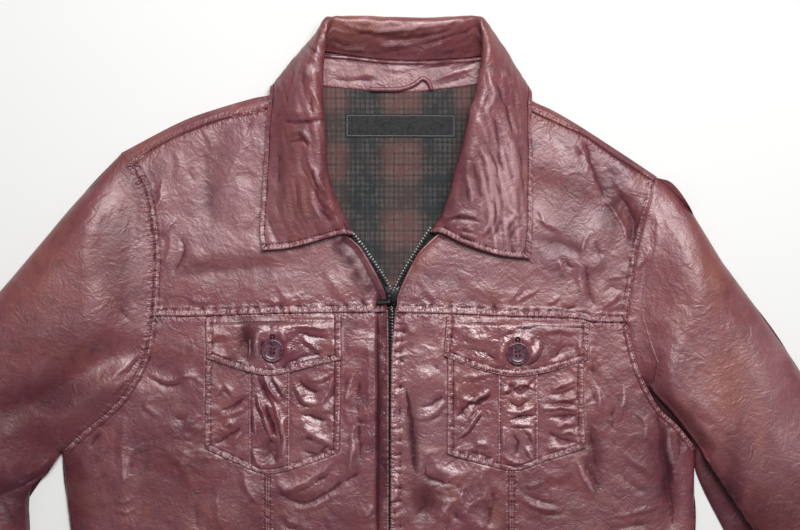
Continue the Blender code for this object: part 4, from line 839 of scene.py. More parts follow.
def noise(x, y, size, seed=0):
    """Smooth random heights, about -1 to 1, whose bumps are this far apart."""
    u = x / size + 31.7 * seed + 90.3
    v = y / size + 17.9 * seed + 41.1
    i, j = np.floor(u).astype(int), np.floor(v).astype(int)
    fu, fv = u - i, v - j
    su, sv = fu**3 * (fu * (fu * 6 - 15) + 10), fv**3 * (fv * (fv * 6 - 15) + 10)

    def corner(right, up):
        angle = LATTICE[(i + right) & 255, (j + up) & 255]
        return np.cos(angle) * (fu - right) + np.sin(angle) * (fv - up)

    low = corner(0, 0) * (1 - su) + corner(1, 0) * su
    high = corner(0, 1) * (1 - su) + corner(1, 1) * su
    return 1.5 * (low * (1 - sv) + high * sv)


def crumple(points, amount=1.0, seed=0, fine=1.0):
    """The small rumples of a washed hide: soft hollows, dents and a few wandering ridges."""
    x, y = points[..., 0], points[..., 1]
    bent_x = x + 9 * noise(x, y, 46, seed + 1)
    bent_y = y + 9 * noise(x, y, 46, seed + 2)
    broad = 1.3 * noise(bent_x, bent_y, 48, seed + 3)
    dents = 0.8 * noise(bent_x, bent_y, 21, seed + 4)
    ridged = np.exp(-9 * np.abs(noise(bent_x + 4, bent_y, 27, seed + 5)))
    pinched = -np.exp(-8 * np.abs(noise(bent_x, bent_y + 7, 19, seed + 9)))
    patchy = smooth(0.35 + 0.9 * noise(x, y, 64, seed + 6))
    small = 0.2 * noise(bent_x, bent_y, 9.5, seed + 7) + 0.1 * noise(bent_x, bent_y, 4.6, seed + 8)
    return amount * (broad + fine * (dents + patchy * (0.55 * ridged + 0.4 * pinched + small) + 0.5 * small))


def crease_heights(points, creases):
    """Ridges, each with a sharp valley on its shaded side, and valleys with a sharp bottom."""
    flat = points.reshape(-1, 2)
    total = np.zeros(len(flat))
    for x0, y0, xm, ym, x1, y1, half, height in creases:
        path = spline([(x0, y0), (xm, ym), (x1, y1)], 4)
        reach = 3.4 * half + 2
        low, high = path.min(axis=0) - reach, path.max(axis=0) + reach
        near = np.flatnonzero(((flat > low) & (flat < high)).all(axis=1))
        if not len(near):
            continue
        distance, signed, run = nearest(flat[near], path)
        length = run_of(path)[-1]
        shaded = 1 if SUN[0] * (y1 - y0) - SUN[1] * (x1 - x0) < 0 else -1
        share = np.clip(run / length, 0, 1)
        taper = (4 * share * (1 - share)) ** 0.8
        wander = min(half, 4) * 0.35 * noise(run, np.full_like(run, x0 + y0), max(9.0, 3 * half), 3)
        wander = wander + min(half, 2.5) * 0.18 * noise(run, signed, 3.5, 4)
        off = (signed * shaded + wander) / (half * (0.5 + 0.4 * taper))
        past = np.maximum(distance - np.abs(signed), 0)
        if height > 0:
            broad = min(max((half - 4) / 4, 0), 1)
            soft = np.where(off > 0, off / 0.75, off / 1.5)
            profile = 1.2 * np.exp(-1.5 * np.sqrt(soft**2 + 0.05))
            profile = profile - 0.35 * np.exp(-2.5 * np.sqrt((off - 1.6) ** 2 + 0.02))
            profile = profile * (1 - 0.8 * broad) + 0.8 * broad * np.exp(-((off / 1.3) ** 2))
        else:
            sharp = 0.7 * min(max((9 - half) / 5, 0), 1)
            profile = (1.15 - sharp) * np.exp(-((off / 1.3) ** 2)) + sharp * np.exp(-2.2 * np.sqrt(off**2 + 0.02))
        total[near] += height * (0.05 + 0.95 * taper) * profile * bell(past, 0.6 * half)
    return total.reshape(points.shape[:-1])


def tint(points, spots):
    x, y = points[..., 0], points[..., 1]
    x = x + 5 * noise(x, y, 22, 8)
    y = y + 5 * noise(x, y, 22, 9)
    total = np.zeros(points.shape[:-1])
    for cx, cy, reach_x, reach_y, amount in spots:
        total = np.maximum(total, amount * np.exp(-(((x - cx) / reach_x) ** 2) - ((y - cy) / reach_y) ** 2))
    return total


def seam_list():
    """Every seam of the fronts and sleeves: its path and its style."""
    seams = []
    for side in ("left", "right"):
        turn = 1 if side == "left" else -1
        across = join(spline(YOKE_SIDE[side]), spline(YOKE_CENTRE[side]))
        seams.append((across[::turn], "yoke"))
        seams.append((spline(SHOULDER_SEAM[side])[::turn], "shoulder"))
        hole = join(spline(ARM_HOLE[side]), spline(ARM_PIT[side]))
        seams.append((hole[:: -turn], "hole"))
        seams.append((spline(PANEL_SEAM[side]), "panel"))
        seams.append((spline(WAIST[side])[::turn], "waist"))
        seams.append((spline(EDGE[side])[::turn], "zip_" + side))
        seams.append((spline(FRONT_EDGE[side])[::-turn], "vee_" + side))
    return seams


def lap(distance, run, rows, rise, pucker, seed):
    """The lapped side of a seam: it stands up, dips at its stitches and puckers."""
    last = rows[-1]
    plateau = rise * round_edge(distance / 1.3) * (1 - smooth((distance + 0.5) / (last + 5)))
    welt = 0.45 * bell(distance - 1.3, 0.9) + 0.25 * bell(distance - 0.55 * last, 0.3 * last + 0.4)
    dips = sum(-0.6 * bell(distance - row, 0.7) for row in rows)
    close = noise(run, 0.35 * distance, 4.6, seed) * bell(distance - 0.5 * last, 0.6 * last)
    wide = noise(run, 0.25 * distance, 9.5, seed + 3) * bell(distance - last - 1.5, 5.0)
    return plateau + welt + dips + pucker * (1.25 * close + 0.9 * wide)


def seam_heights(points, seams):
    flat = points.reshape(-1, 2)
    total = np.zeros(len(flat))
    for number, (path, style) in enumerate(seams):
        side, rows, rise, pucker = SEAM_STYLES[style]
        low, high = path.min(axis=0) - 18, path.max(axis=0) + 18
        near = np.flatnonzero(((flat > low) & (flat < high)).all(axis=1))
        if not len(near):
            continue
        distance, signed, run = nearest(flat[near], path)
        inside = (run > 0.01) & (run < run_of(path)[-1] - 0.01)
        keep = smooth((16 - distance) / 5) * np.where(inside, 1, bell(distance, 2.5))
        if rows:
            over = lap(distance, run, rows, rise, pucker, number)
        else:
            deep = 1.5 if style == "vee_left" else 0.7
            over = 0.9 * bell(distance - 1.0, 0.9) - deep * bell(distance - 6.5, 4.0)
        if style == "zip_left":
            over = 0.6 * over - 1.5 * np.clip(distance / 9.6, 0, 1) * (1 - smooth((distance - 9.6) / 2.6))
            over = over + 0.8 * bell(distance - 0.9, 0.8)
        under = -0.5 * bell(distance, 2.2) + 0.6 * pucker * noise(run, distance, 8, number + 40) * bell(distance, 6)
        shape = over if side == 0 else np.where(signed * side > 0, over, under)
        total[near] += keep * shape - 0.5 * bell(distance, 0.9) * inside
    return total.reshape(points.shape[:-1])


SEAMS = seam_list()


def stitched_edges(points, paths, reach, full=1.5):
    """How near the closest of these edges is, 0 to 1, and how far along it, mm."""
    flat = points.reshape(-1, 2)
    near, along = np.zeros(len(flat)), np.zeros(len(flat))
    for path in paths:
        low, high = path.min(axis=0) - 3 * reach, path.max(axis=0) + 3 * reach
        spots = np.flatnonzero(((flat > low) & (flat < high)).all(axis=1))
        if len(spots):
            distance, _, run = nearest(flat[spots], path)
            value = bell(np.maximum(distance - full, 0), reach)
            closer = value > near[spots]
            near[spots[closer]], along[spots[closer]] = value[closer], run[closer]
    return near.reshape(points.shape[:-1]), along.reshape(points.shape[:-1])


def outline(plan):
    """A pocket's or flap's rim, anticlockwise from its upper left."""
    left, right = spline(plan["left"]), spline(plan["right"])
    if left[0][1] < left[-1][1]:
        left, right = left[::-1], right[::-1]
    return join(left, spline(plan["bottom"]), right[::-1])


POCKET_RIM = {side: outline(POCKET[side]) for side in POCKET}
FLAP_RIM = {side: outline(FLAP[side]) for side in FLAP}


def inside_rim(points, rim):
    """How far inside a closed rim, mm. It is negative outside."""
    closed = np.vstack([rim, rim[:1]])
    x, y = points[..., 0], points[..., 1]
    odd = np.zeros(x.shape, bool)
    for (x0, y0), (x1, y1) in zip(closed, closed[1:]):
        if y0 != y1:
            odd ^= ((y0 > y) != (y1 > y)) & (x < (x1 - x0) * (y - y0) / (y1 - y0) + x0)
    distance = nearest(points, closed)[0]
    return np.where(odd, distance, -distance)


def front_relief(points):
    """What the stitching and wear add to the smooth front surface."""
    covered = np.zeros(points.shape[:-1])
    for side in POCKET_RIM:
        covered = np.maximum(covered, smooth((inside_rim(points, POCKET_RIM[side]) + 0.5) / 2.5))
        covered = np.maximum(covered, smooth((inside_rim(points, FLAP_RIM[side]) + 0.5) / 2.5))
    x, y = points[..., 0], points[..., 1]
    worked = 0.5 + 0.5 * smooth((-4 - y) / 20) * smooth((205 - np.abs(x)) / 25)
    on_sleeve = smooth((np.abs(x) - 216 - 0.2 * np.maximum(-y, 0)) / 14)
    along = 0.56 * np.abs(x) - 0.83 * y
    drawn = np.stack([along / 2.6, 0.83 * x + 0.56 * np.sign(x) * y], axis=-1)
    relief = (1 - on_sleeve) * crumple(points, 1.0, 0, worked) + on_sleeve * crumple(drawn, 0.85, 7, 0.6)
    relief = relief + crease_heights(points, CREASES) * (1 - 0.25 * on_sleeve) + 0.25
    room = np.ones(points.shape[:-1])
    for side in SIDES.values():
        for name in ("top", "flank", "inner"):
            room = np.minimum(room, smooth((nearest(points, side[name])[0] + 1) / 9))
    relief = relief * room * (1 - covered) - 1.1 * covered
    return relief + seam_heights(points, SEAMS) * (1 - covered)


def under_relief(points):
    """The part of the relief that a pocket or flap shows through itself."""
    x, y = points[..., 0], points[..., 1]
    return 0.75 * noise(x, y, 44, 3)


def rim_relief(points, rim, row, rows=1, seed=0):
    """A turned and topstitched edge."""
    distance, _, run = nearest(points, rim)
    places = (row,) if rows == 1 else (1.5, row)
    shape = lap(distance, run, places, 0.5, 0.7, seed)
    return shape - 0.9 * (1 - round_edge(distance / 1.2))


def patch_relief(points, creases, amount, seed, fine):
    """What shows through from below, a patch's own creases and its rumples."""
    return under_relief(points) + 1.4 * crease_heights(points, creases) + crumple(points, amount, seed, fine)


def pocket_relief(points, side):
    x0, x1 = POCKET[side]["strip"]
    x = points[..., 0]
    shape = patch_relief(points, POCKET_CREASES, 0.7, 20, 1.3)
    beside = np.minimum(np.abs(x - x0), np.abs(x - x1))
    between = (x > x0 + 1) & (x < x1 - 1)
    shape = np.where(between, 0.3 * shape - 0.8, shape) - 0.4 * bell(beside, 2.0)
    return shape + rim_relief(points, POCKET_RIM[side], POCKET_ROW, 1, 11 if side == "left" else 13)


def strip_relief(points, side):
    x0, x1 = POCKET[side]["strip"]
    x = points[..., 0]
    shape = patch_relief(points, STRIP_CREASES, 0.5, 30, 1.3)
    edge = np.minimum(x - x0, x1 - x)
    run = points[..., 1]
    stitched = -0.4 * bell(edge - STRIP_ROW, 0.7) + 0.35 * noise(run, edge, 5.5, 31) * bell(edge - 1, 3.0)
    low, _, along = nearest(points, POCKET_RIM[side])
    stitched = stitched - 0.5 * bell(low - 5.0, 0.8) + 0.3 * noise(along, low, 4.6, 33) * bell(low - 3, 3)
    return shape + stitched - 0.8 * (1 - round_edge(edge / 1.2))


def flap_relief(points, side):
    shape = patch_relief(points, FLAP_CREASES, 0.6, 50, 1.4)
    button = POCKET[side]["button"]
    away = np.hypot(points[..., 0] - button[0], points[..., 1] - button[1])
    above = smooth((points[..., 1] - button[1] + 12) / 16)
    about = np.arctan2(points[..., 1] - button[1], points[..., 0] - button[0])
    uneven = 1 + 0.6 * noise(3 * np.cos(about), 3 * np.sin(about), 2.0, 57)
    puff = bell(away - 13 - 1.5 * uneven, 3.0 + 0.8 * uneven)
    shape = shape + (0.25 + 1.3 * above) * uneven * puff - 0.6 * bell(away, 7)
    rows = FLAP_ROWS[side]
    rim = rim_relief(points, FLAP_RIM[side], rows[-1], len(rows), 17 if side == "left" else 19)
    top = nearest(points, spline(FLAP[side]["top"]))[0]
    return shape + rim - 0.4 * bell(top - FLAP_TOP_ROW, 0.7) + 0.25 * bell(top - 2.5, 1.5)


def flap_stand(points, side):
    """A flap lies on its panel at the top and on the pocket and strip below."""
    middle = sum(POCKET[side]["strip"]) / 2
    over_strip = smooth((46 - np.abs(points[..., 0] - middle)) / 22)
    return 1.5 + (1.9 + 1.6 * over_strip) * smooth((-16 - points[..., 1]) / 8)


def front_z(points):
    return height(points) + front_relief(points)


def pocket_z(points, side):
    return height(points) + POCKET_RISE + pocket_relief(points, side)


def strip_z(points, side):
    return height(points) + STRIP_RISE + strip_relief(points, side)


def flap_z(points, side):
    return height(points) + flap_stand(points, side) + flap_relief(points, side)


# Collar stations from front to back and round, mm: x, y, z of the neck seam, inner side, roll, upper fall,
# lower fall and free edge. Their surface is the outer one, which faces down where the fall lies under the neck.
COLLAR = [
    [(-41, 58, 11.0), (-33.5, 58, 14), (-44, 58, 17.5), (-66, 52, 18.5), (-92, 45.5, 18.5), (-114, 43.8, 17.5)],
    [(-51, 77, 11.6), (-43.5, 80.5, 19), (-52, 80, 24.5), (-70, 76, 24), (-94, 68, 20.5), (-116.2, 60, 16.5)],
    [(-61, 101, 12), (-52.6, 103, 23.5), (-60, 103, 30), (-76, 101, 28), (-96, 97, 22), (-114.2, 93, 15)],
    [(-66, 127, 12.2), (-56.4, 127, 26.5), (-63.5, 127, 33.5), (-78, 127, 31), (-96, 127, 23.5), (-112.2, 127, 14.8)],
    [(-69, 155, 12.2), (-57.5, 155, 28), (-65, 155, 35.5), (-79, 155, 32), (-95.5, 155, 24), (-110.8, 155, 14.6)],
    [(-72, 184, 12.4), (-59.3, 190, 29), (-66.5, 191, 36.5), (-79, 187, 33), (-93, 181, 25), (-108.5, 175, 14.6)],
    [(-73, 203, 12.4), (-58.5, 215, 29), (-64, 222, 35), (-76, 211, 30), (-90, 198, 22), (-107.6, 184.5, 12.6)],
    [(-66, 219, 10.5), (-56.5, 237, 28), (-58.5, 246, 27), (-68, 233, 20), (-85, 214.5, 13), (-107.8, 188, 6)],
    [(-57, 220, 8), (-51, 244, 26), (-50.5, 249.8, 22), (-62, 240, 8), (-81, 213.5, 0), (-105.8, 183, 0)],
    [(-48, 218.8, 7.6), (-44, 243.5, 25), (-42, 250.1, 20), (-47, 245, 6.5), (-58, 227, 0), (-82, 178, 0)],
    [(-38, 217.6, 7.2), (-36, 243, 24), (-35, 250.2, 18.5), (-38, 246, 6), (-43, 231, 0), (-62, 177, 0)],
    [(-10, 214.3, 6.9), (-10, 242, 23), (-10, 249.8, 17), (-10, 246, 5), (-11, 232, 0), (-20, 175.5, 0)],
    [(14, 213.1, 6.9), (14, 241.5, 23), (14, 249.3, 17), (14, 246, 5), (14, 232, 0), (14, 175, 0)],
    [(40, 213.6, 6.9), (41, 242, 23), (42, 249.5, 17), (42, 246, 5), (40, 232, 0), (46, 175.5, 0)],
    [(62, 214.9, 7.2), (62, 243, 24), (61, 250, 18.5), (64, 245, 6), (68, 230, 0), (84, 176.5, 0)],
    [(71, 215.8, 7.6), (69, 243.3, 25), (67, 250.2, 20), (73, 244, 6.5), (84, 225, 0), (102, 177.5, 0)],
    [(79, 217, 8), (75, 243.5, 26), (74.5, 249.5, 22), (86, 239, 8), (105, 212, 0), (122.5, 180.5, 0)],
    [(88, 216.5, 10.5), (80.5, 236, 28), (82, 245.5, 27), (93, 232, 20), (107, 213, 13), (124, 185, 6)],
    [(91, 203, 12.4), (80, 214, 29), (85, 221, 35), (96, 211, 30), (109, 198, 22), (124.4, 181, 12.6)],
    [(89, 186, 12.4), (76, 190, 29), (83, 190, 36), (94, 186, 33), (109, 181, 25), (124.3, 172, 14.6)],
    [(81, 165, 12.2), (68.5, 165, 28.5), (76, 165, 35.5), (90, 163, 32), (108, 160, 24.5), (124.6, 157, 14.6)],
    [(74, 140, 12.2), (63.7, 140, 27), (71, 140, 34), (87, 138, 31), (107, 134, 24), (125.6, 130, 14.8)],
    [(66, 114, 12), (56.5, 113, 24), (64, 112, 30.5), (82, 109, 28.5), (105, 103, 22.5), (125.8, 98, 15)],
    [(58, 88, 11.6), (50, 88, 19.5), (57, 86.5, 25), (77, 81, 24.5), (103, 74, 21), (125.8, 68, 16.5)],
    [(42, 59.5, 11), (35, 60, 14), (45, 59, 17.5), (66, 49, 19), (96, 39.5, 19), (123, 36.5, 17.5)],
]
# The line of the zip's teeth, mm: closed up to the slider, and parted above it.
CLOSED_CHAIN = [(0, -429), (-0.9, -200), (0.6, -44), (0.9, -3.4)]
CHAIN = {
    "left": CLOSED_CHAIN + [(0.6, 3), (-0.9, 11.7), (-9.7, 26.6), (-27.9, 52.5), (-36, 62)],
    "right": CLOSED_CHAIN + [(1.3, 3), (4.7, 13.1), (13.3, 29.4), (30.6, 57.3), (37, 66)],
}


def coons(bottom, right, top, left, u, v):
    """A grid between four paths: bottom and top run to +X, left and right run to +Y."""
    low, high = sample(bottom, u), sample(top, u)
    near, far = sample(left, v), sample(right, v)
    u, v = u[None, :, None], v[:, None, None]
    ruled = (1 - v) * low[None] + v * high[None] + (1 - u) * near[:, None] + u * far[:, None]
    corners = (1 - u) * (1 - v) * low[0] + u * (1 - v) * low[-1] + (1 - u) * v * high[0] + u * v * high[-1]
    return ruled - corners


def panel_grid(bottom, right, top, left, step, wide=None):
    across = max(run_of(bottom)[-1], run_of(top)[-1])
    up = max(run_of(left)[-1], run_of(right)[-1])
    return coons(bottom, right, top, left, graded(across, step), graded(up, step, wide))


def seat(grid, z):
    return np.concatenate([grid, z[..., None]], axis=-1)


def shifted(field, reach):
    """The grid moved to every place of a square about each point."""
    padded = np.pad(field, reach, mode="edge")
    rows, cols = field.shape
    places = range(2 * reach + 1)
    return [padded[i : i + rows, j : j + cols] for i in places for j in places]


def blurred(field, reach):
    """The mean over a square of the grid."""
    return sum(shifted(field, reach)) / (2 * reach + 1) ** 2


def lowest(field, reach=2):
    """The least over a square of the grid."""
    return np.minimum.reduce(shifted(field, reach))


def crest_of(relief):
    """Where the surface stands above its surroundings, about -1 to 1. Wear on the ridges and painted shade in the
    hollows follow it.
    """
    return np.clip(1.3 * (relief - blurred(relief, 2)) + 0.8 * (relief - blurred(relief, 5)), -1, 1)


def wall_mesh(name, outer, inner, marks):
    """A closed wall. The outer face has every point of the grid, and the inner one every third."""
    rows, cols = outer.shape[:2]
    keep_i = sorted(set(range(0, rows - 1, 3)) | {rows - 1})
    keep_j = sorted(set(range(0, cols - 1, 3)) | {cols - 1})
    under = inner[keep_i][:, keep_j]
    top = np.arange(rows * cols).reshape(rows, cols)
    low = rows * cols + np.arange(len(keep_i) * len(keep_j)).reshape(len(keep_i), len(keep_j))
    quads = np.stack([top[:-1, :-1], top[:-1, 1:], top[1:, 1:], top[1:, :-1]], axis=-1).reshape(-1, 4)
    back = np.stack([low[:-1, :-1], low[1:, :-1], low[1:, 1:], low[:-1, 1:]], axis=-1).reshape(-1, 4)
    faces = quads.tolist() + back.tolist()
    for k, (a, b) in enumerate(zip(keep_i, keep_i[1:])):
        faces.append([low[k, 0], low[k + 1, 0], *top[a : b + 1, 0][::-1]])
        faces.append([low[k + 1, -1], low[k, -1], *top[a : b + 1, -1]])
    for k, (a, b) in enumerate(zip(keep_j, keep_j[1:])):
        faces.append([low[0, k + 1], low[0, k], *top[0, a : b + 1]])
        faces.append([low[-1, k], low[-1, k + 1], *top[-1, a : b + 1][::-1]])
    points = np.vstack([outer.reshape(-1, 3), under.reshape(-1, 3)]) * MM
    mesh = bpy.data.meshes.new(name)
    mesh.from_pydata(points.tolist(), [], faces)
    for mark, field in marks.items():
        values = np.concatenate([field.reshape(-1), field[keep_i][:, keep_j].reshape(-1)])
        layer = mesh.attributes.new(mark, "FLOAT", "POINT")
        layer.data.foreach_set("value", values.astype(np.float32))
    face_outward(mesh)
    return mesh


def face_outward(mesh):
    """Turns the faces round if the closed mesh is inside out, and shades it smooth."""
    mesh.calc_loop_triangles()
    corners = np.empty(len(mesh.loop_triangles) * 3, np.int32)
    mesh.loop_triangles.foreach_get("vertices", corners)
    points = np.empty(len(mesh.vertices) * 3, np.float32)
    mesh.vertices.foreach_get("co", points)
    a, b, c = points.reshape(-1, 3).astype(float)[corners].reshape(-1, 3, 3).transpose(1, 0, 2)
    if (a * np.cross(b, c)).sum() < 0:
        mesh.flip_normals()
    mesh.shade_smooth()
    mesh.set_sharp_from_angle(angle=math.radians(58))
    mesh.update()


def add_piece(name, mesh, node, finish, body=BODY):
    """Puts a mesh in the scene as the piece that stands for a CAD node."""
    mesh.materials.clear()
    mesh.materials.append(finish)
    made = bpy.data.objects.new(name, mesh)
    bpy.context.scene.collection.objects.link(made)
    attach(made, body)
    if node:
        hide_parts(*([node] if isinstance(node, str) else node))
    return made


def face_area(outer):
    a, b, c, d = outer[:-1, :-1], outer[:-1, 1:], outer[1:, 1:], outer[1:, :-1]
    return 0.5 * np.linalg.norm(np.cross(c - a, d - b), axis=-1).sum()


def sheet_piece(name, node, outer, inner, marks, finish):
    """A wall of hide or cloth that stands for its node, with its finish."""
    made = add_piece(name, wall_mesh(name, outer, inner, marks), node, finish)
    return made


def hide_marks(grid, relief, near=None, along=None, bare=None):
    """What the hide's finish needs to know at each point."""
    plain = np.zeros(grid.shape[:2])
    return {
        "crest": crest_of(relief),
        "rust": tint(grid, RUST),
        "painted_sheen": tint(grid, PAINTED_SHEEN_SPOTS),
        "dusk": tint(grid, PAINTED_SHADE_SPOTS),
        "polish": tint(grid, POLISH),
        "stitched": plain if near is None else near,
        "along": plain if along is None else along,
        "bare": plain if bare is None else bare,
    }


def front_piece(node, grid, z, relief, finish, wall=LEATHER, edges=None, reach=3.0):
    """A piece of the jacket's front, from the heights of its outer face."""
    z = np.maximum(z, 0.4)
    outer = seat(grid, z)
    floor = lift(grid) + 0.15
    inner = seat(grid, np.maximum(np.maximum(lowest(z) - wall, np.minimum(floor, z - 0.4)), 0))
    edges = [path for path, style in SEAMS if not style.startswith("vee")] if edges is None else edges
    near, along = stitched_edges(grid, edges, reach)
    bare, _ = stitched_edges(grid, edges, 0.6, 0.4)
    marks = hide_marks(grid, relief, 0.3 * reach * near, along, bare)
    return sheet_piece("hide_" + node, node, outer, inner, marks, finish)


def four_sided(a, b, c, d, step):
    """A grid between four corners, from the lower left round by the right."""
    a, b, c, d = (np.array(corner, float) for corner in (a, b, c, d))
    return panel_grid(np.array([a, b]), np.array([b, c]), np.array([d, c]), np.array([a, d]), step)


def build_fronts(sizes, finish):
    step = sizes.panel_step / MM
    for side in ("left", "right"):
        yoke_line = join(spline(YOKE_SIDE[side]), spline(YOKE_CENTRE[side]))
        neck_line = join(spline(FRONT_EDGE[side]), spline(NECK[side]))
        hole_line = spline(ARM_HOLE[side])[::-1]
        flank_line = join(spline(FLANK[side])[::-1], spline(ARM_PIT[side])[::-1])
        seam_line = spline(PANEL_SEAM[side])
        edge_line = spline(EDGE[side])[::-1]
        hem = np.array(WAIST[side], float)
        split = np.array([seam_line[0][0], BAND_Y])
        shoulder = spline(SHOULDER_SEAM[side])
        if side == "left":
            yoke = panel_grid(yoke_line, neck_line, shoulder, hole_line, step)
            outer_half = (np.array([hem[0], split]), seam_line, spline(YOKE_SIDE[side]), flank_line)
            inner_half = (np.array([split, hem[1]]), edge_line, spline(YOKE_CENTRE[side]), seam_line)
        else:
            yoke = panel_grid(yoke_line[::-1], hole_line, shoulder[::-1], neck_line, step)
            outer_half = (np.array([split, hem[0]]), flank_line, spline(YOKE_SIDE[side])[::-1], seam_line)
            inner_half = (np.array([hem[1], split]), seam_line, spline(YOKE_CENTRE[side])[::-1], edge_line)
        low = (0, PANEL_HIDDEN, sizes.hidden_step / MM)
        for node, grid in (
            ("front_yoke_" + side, yoke),
            ("front_side_" + side, panel_grid(*outer_half, step, low)),
            ("front_centre_" + side, panel_grid(*inner_half, step, low)),
        ):
            relief = front_relief(grid)
            front_piece(node, grid, height(grid) + relief, relief, finish)


def build_waistband(sizes, finish, shaded_back_finish):
    step = sizes.hidden_step / MM
    for side, outer_x in HEM_X.items():
        far = np.array([(outer_x, HEM_Y), (WAIST[side][0][0], BAND_Y)], float)
        near = np.array([(WAIST[side][1][0], HEM_Y), WAIST[side][1]], float)
        first, last = (far, near) if side == "left" else (near, far)
        grid = panel_grid(np.array([first[0], last[0]]), last, np.array([first[1], last[1]]), first, step)
        relief = front_relief(grid)
        front_piece("waistband_front_" + side, grid, height(grid) + relief, relief, finish)
    corners = [(HEM_X["left"], HEM_Y), (HEM_X["right"], HEM_Y), (257, BAND_Y), (-266, BAND_Y)]
    grid = four_sided(*corners, step)
    flat_piece("waistband_back", grid, shaded_back_finish)


def flat_piece(node, grid, finish, wall=1.0):
    """A piece that lies flat under the others. Its hollows bend up off the surface."""
    low = lift(grid)
    relief = 0.5 * np.maximum(crumple(grid, 1.0, 60), 0)
    outer = seat(grid, low + wall + relief)
    inner = seat(grid, low + np.maximum(lowest(relief) - 0.1, 0))
    marks = hide_marks(grid, relief)
    return sheet_piece("hide_" + node, node, outer, inner, marks, finish)


def arm_hole(side):
    tip = np.array([TOP[side][0], ARM_HOLE[side][0]], float)
    return join(tip, spline(ARM_HOLE[side]), spline(ARM_PIT[side]))


def build_back(sizes, finish, yoke_finish):
    step = 1.6 * sizes.hidden_step / MM
    tuck = np.array([1.6, 0])
    left = join(spline(FLANK["left"])[::-1], spline(ARM_PIT["left"])[::-1]) + tuck
    right = join(spline(FLANK["right"])[::-1], spline(ARM_PIT["right"])[::-1]) - tuck
    grid = panel_grid(np.array([left[0], right[0]]), right, np.array([left[-1], right[-1]]), left, step)
    # The back panel takes the darker copy of the hide: painted shade.
    flat_piece("back_panel", grid, finish)
    build_back_yoke(sizes, yoke_finish)


def build_back_yoke(sizes, finish):
    """The yoke lies flat under the shoulders, turns up at them and ends on the front."""
    step = sizes.panel_step / MM
    parts = []
    for side in ("left", "right"):
        rim_path, end_path = spline(TOP[side]), spline(SHOULDER_SEAM[side])
        shares = graded(run_of(end_path)[-1], step)
        rim, end = sample(rim_path, shares), sample(end_path, shares)
        width = np.linalg.norm(end - rim, axis=1)
        inward = (end - rim) / width[:, None]
        level = front_z(rim + inward * np.minimum(3, 0.5 * width)[:, None]) - 0.4
        base = lift(rim) + 0.95
        radius = np.minimum((level - base) / 2, 0.5 * width).clip(1.2, 3.2)
        rows = []
        for angle in np.radians(np.linspace(-90, 75, 9)):
            out = rim + inward * (radius * (1 - math.cos(angle)))[:, None]
            z = (level + base) / 2 + (level - base) / 2 * math.sin(angle)
            rows.append(seat(out, z))
        for share in np.linspace(0.3, 1, 12):
            spot = rim + inward * (radius * 0.75 * (1 - share) + width * share)[:, None]
            rows.append(seat(spot, front_z(spot)))
        parts.append((side, np.array(rows)))
    upper = join(spline(TOP["left"]), spline(NECK_BACK), spline(TOP["right"])[::-1])
    left_low, right_low = np.array([-211, -14.0]), np.array([209, -20.0])
    left = np.vstack([[left_low], spline(ARM_HOLE["left"])[::-1], [TOP["left"][0]]]) + (1.6, 0)
    right = np.vstack([[right_low], spline(ARM_HOLE["right"])[::-1], [TOP["right"][0]]]) - (1.6, 0)
    grid = panel_grid(np.array([left[0], right[0]]), right, upper, left, 2.2 * step)
    parts.append(("flat", seat(grid, lift(grid) + 1.0)))
    meshes, area = [], 0
    for side, outer in parts:
        if side == "flat":
            inner = outer - (0, 0, 0.95)
            relief = np.zeros(outer.shape[:2])
        else:
            normal = normals_of(outer)
            middle = outer.mean(axis=(0, 1))
            turn = -1 if ((outer - middle) * normal)[2:6].sum() < 0 else 1
            inner = outer - turn * 0.9 * normal
            relief = np.vstack([np.zeros((9, outer.shape[1])), front_relief(outer[9:, :, :2])])
        area += face_area(outer)
        near, along = stitched_edges(outer[..., :2], [spline(SHOULDER_SEAM[s]) for s in SIDES], 2.5)
        meshes.append(wall_mesh("yoke_" + side, outer, inner, hide_marks(outer[..., :2], relief, near, along)))
    made = joined("hide_back_yoke", meshes, "back_yoke", finish)


def joined(name, meshes, node, finish):
    """One piece from several meshes."""
    made = add_piece(name, meshes[0], node, finish)
    others = []
    for mesh in meshes[1:]:
        mesh.materials.append(finish)
        other = bpy.data.objects.new(name + "_part", mesh)
        bpy.context.scene.collection.objects.link(other)
        others.append(other)
    bpy.ops.object.select_all(action="DESELECT")
    for other in others + [made]:
        other.select_set(True)
    bpy.context.view_layer.objects.active = made
    bpy.ops.object.join()
    return made


def sleeve_rows(side, step, hidden):
    """Plan grid of a sleeve, each row from its outer edge to the armhole or inner edge."""
    inner = join(arm_hole(side), spline(SLEEVE_IN[side]))
    outer = spline(SLEEVE_OUT[side])
    outer[0] += (-3.0, -3.2) if side == "left" else (3.0, -1.8)
    length = max(run_of(inner)[-1], run_of(outer)[-1])
    shares = graded(length, step, (SLEEVE_SHOWN, length, hidden))
    return sample(outer, shares), sample(inner, shares)


def build_sleeves(sizes, finish, shaded_under_finish):
    step = 1.35 * sizes.panel_step / MM
    hidden = 1.3 * sizes.hidden_step / MM
    outer, inner = sleeve_rows("left", step, hidden)
    across = graded(185, step)
    grid = (outer[:, None] + (inner - outer)[:, None] * across[:, None])[::-1]
    relief = front_relief(grid)
    front_piece("sleeve_top_left", grid, height(grid) + relief, relief, finish)
    for side in ("left", "right"):
        outer, inner = sleeve_rows(side, 2 * hidden, 2 * hidden)
        narrow = graded(185, 2 * hidden) * 0.975 + 0.0125
        grid = (outer[:, None] + (inner - outer)[:, None] * narrow[:, None])[::-1]
        flat_piece("sleeve_under_" + side, grid if side == "left" else grid[:, ::-1], shaded_under_finish)
    right_sleeve(step, hidden, finish)


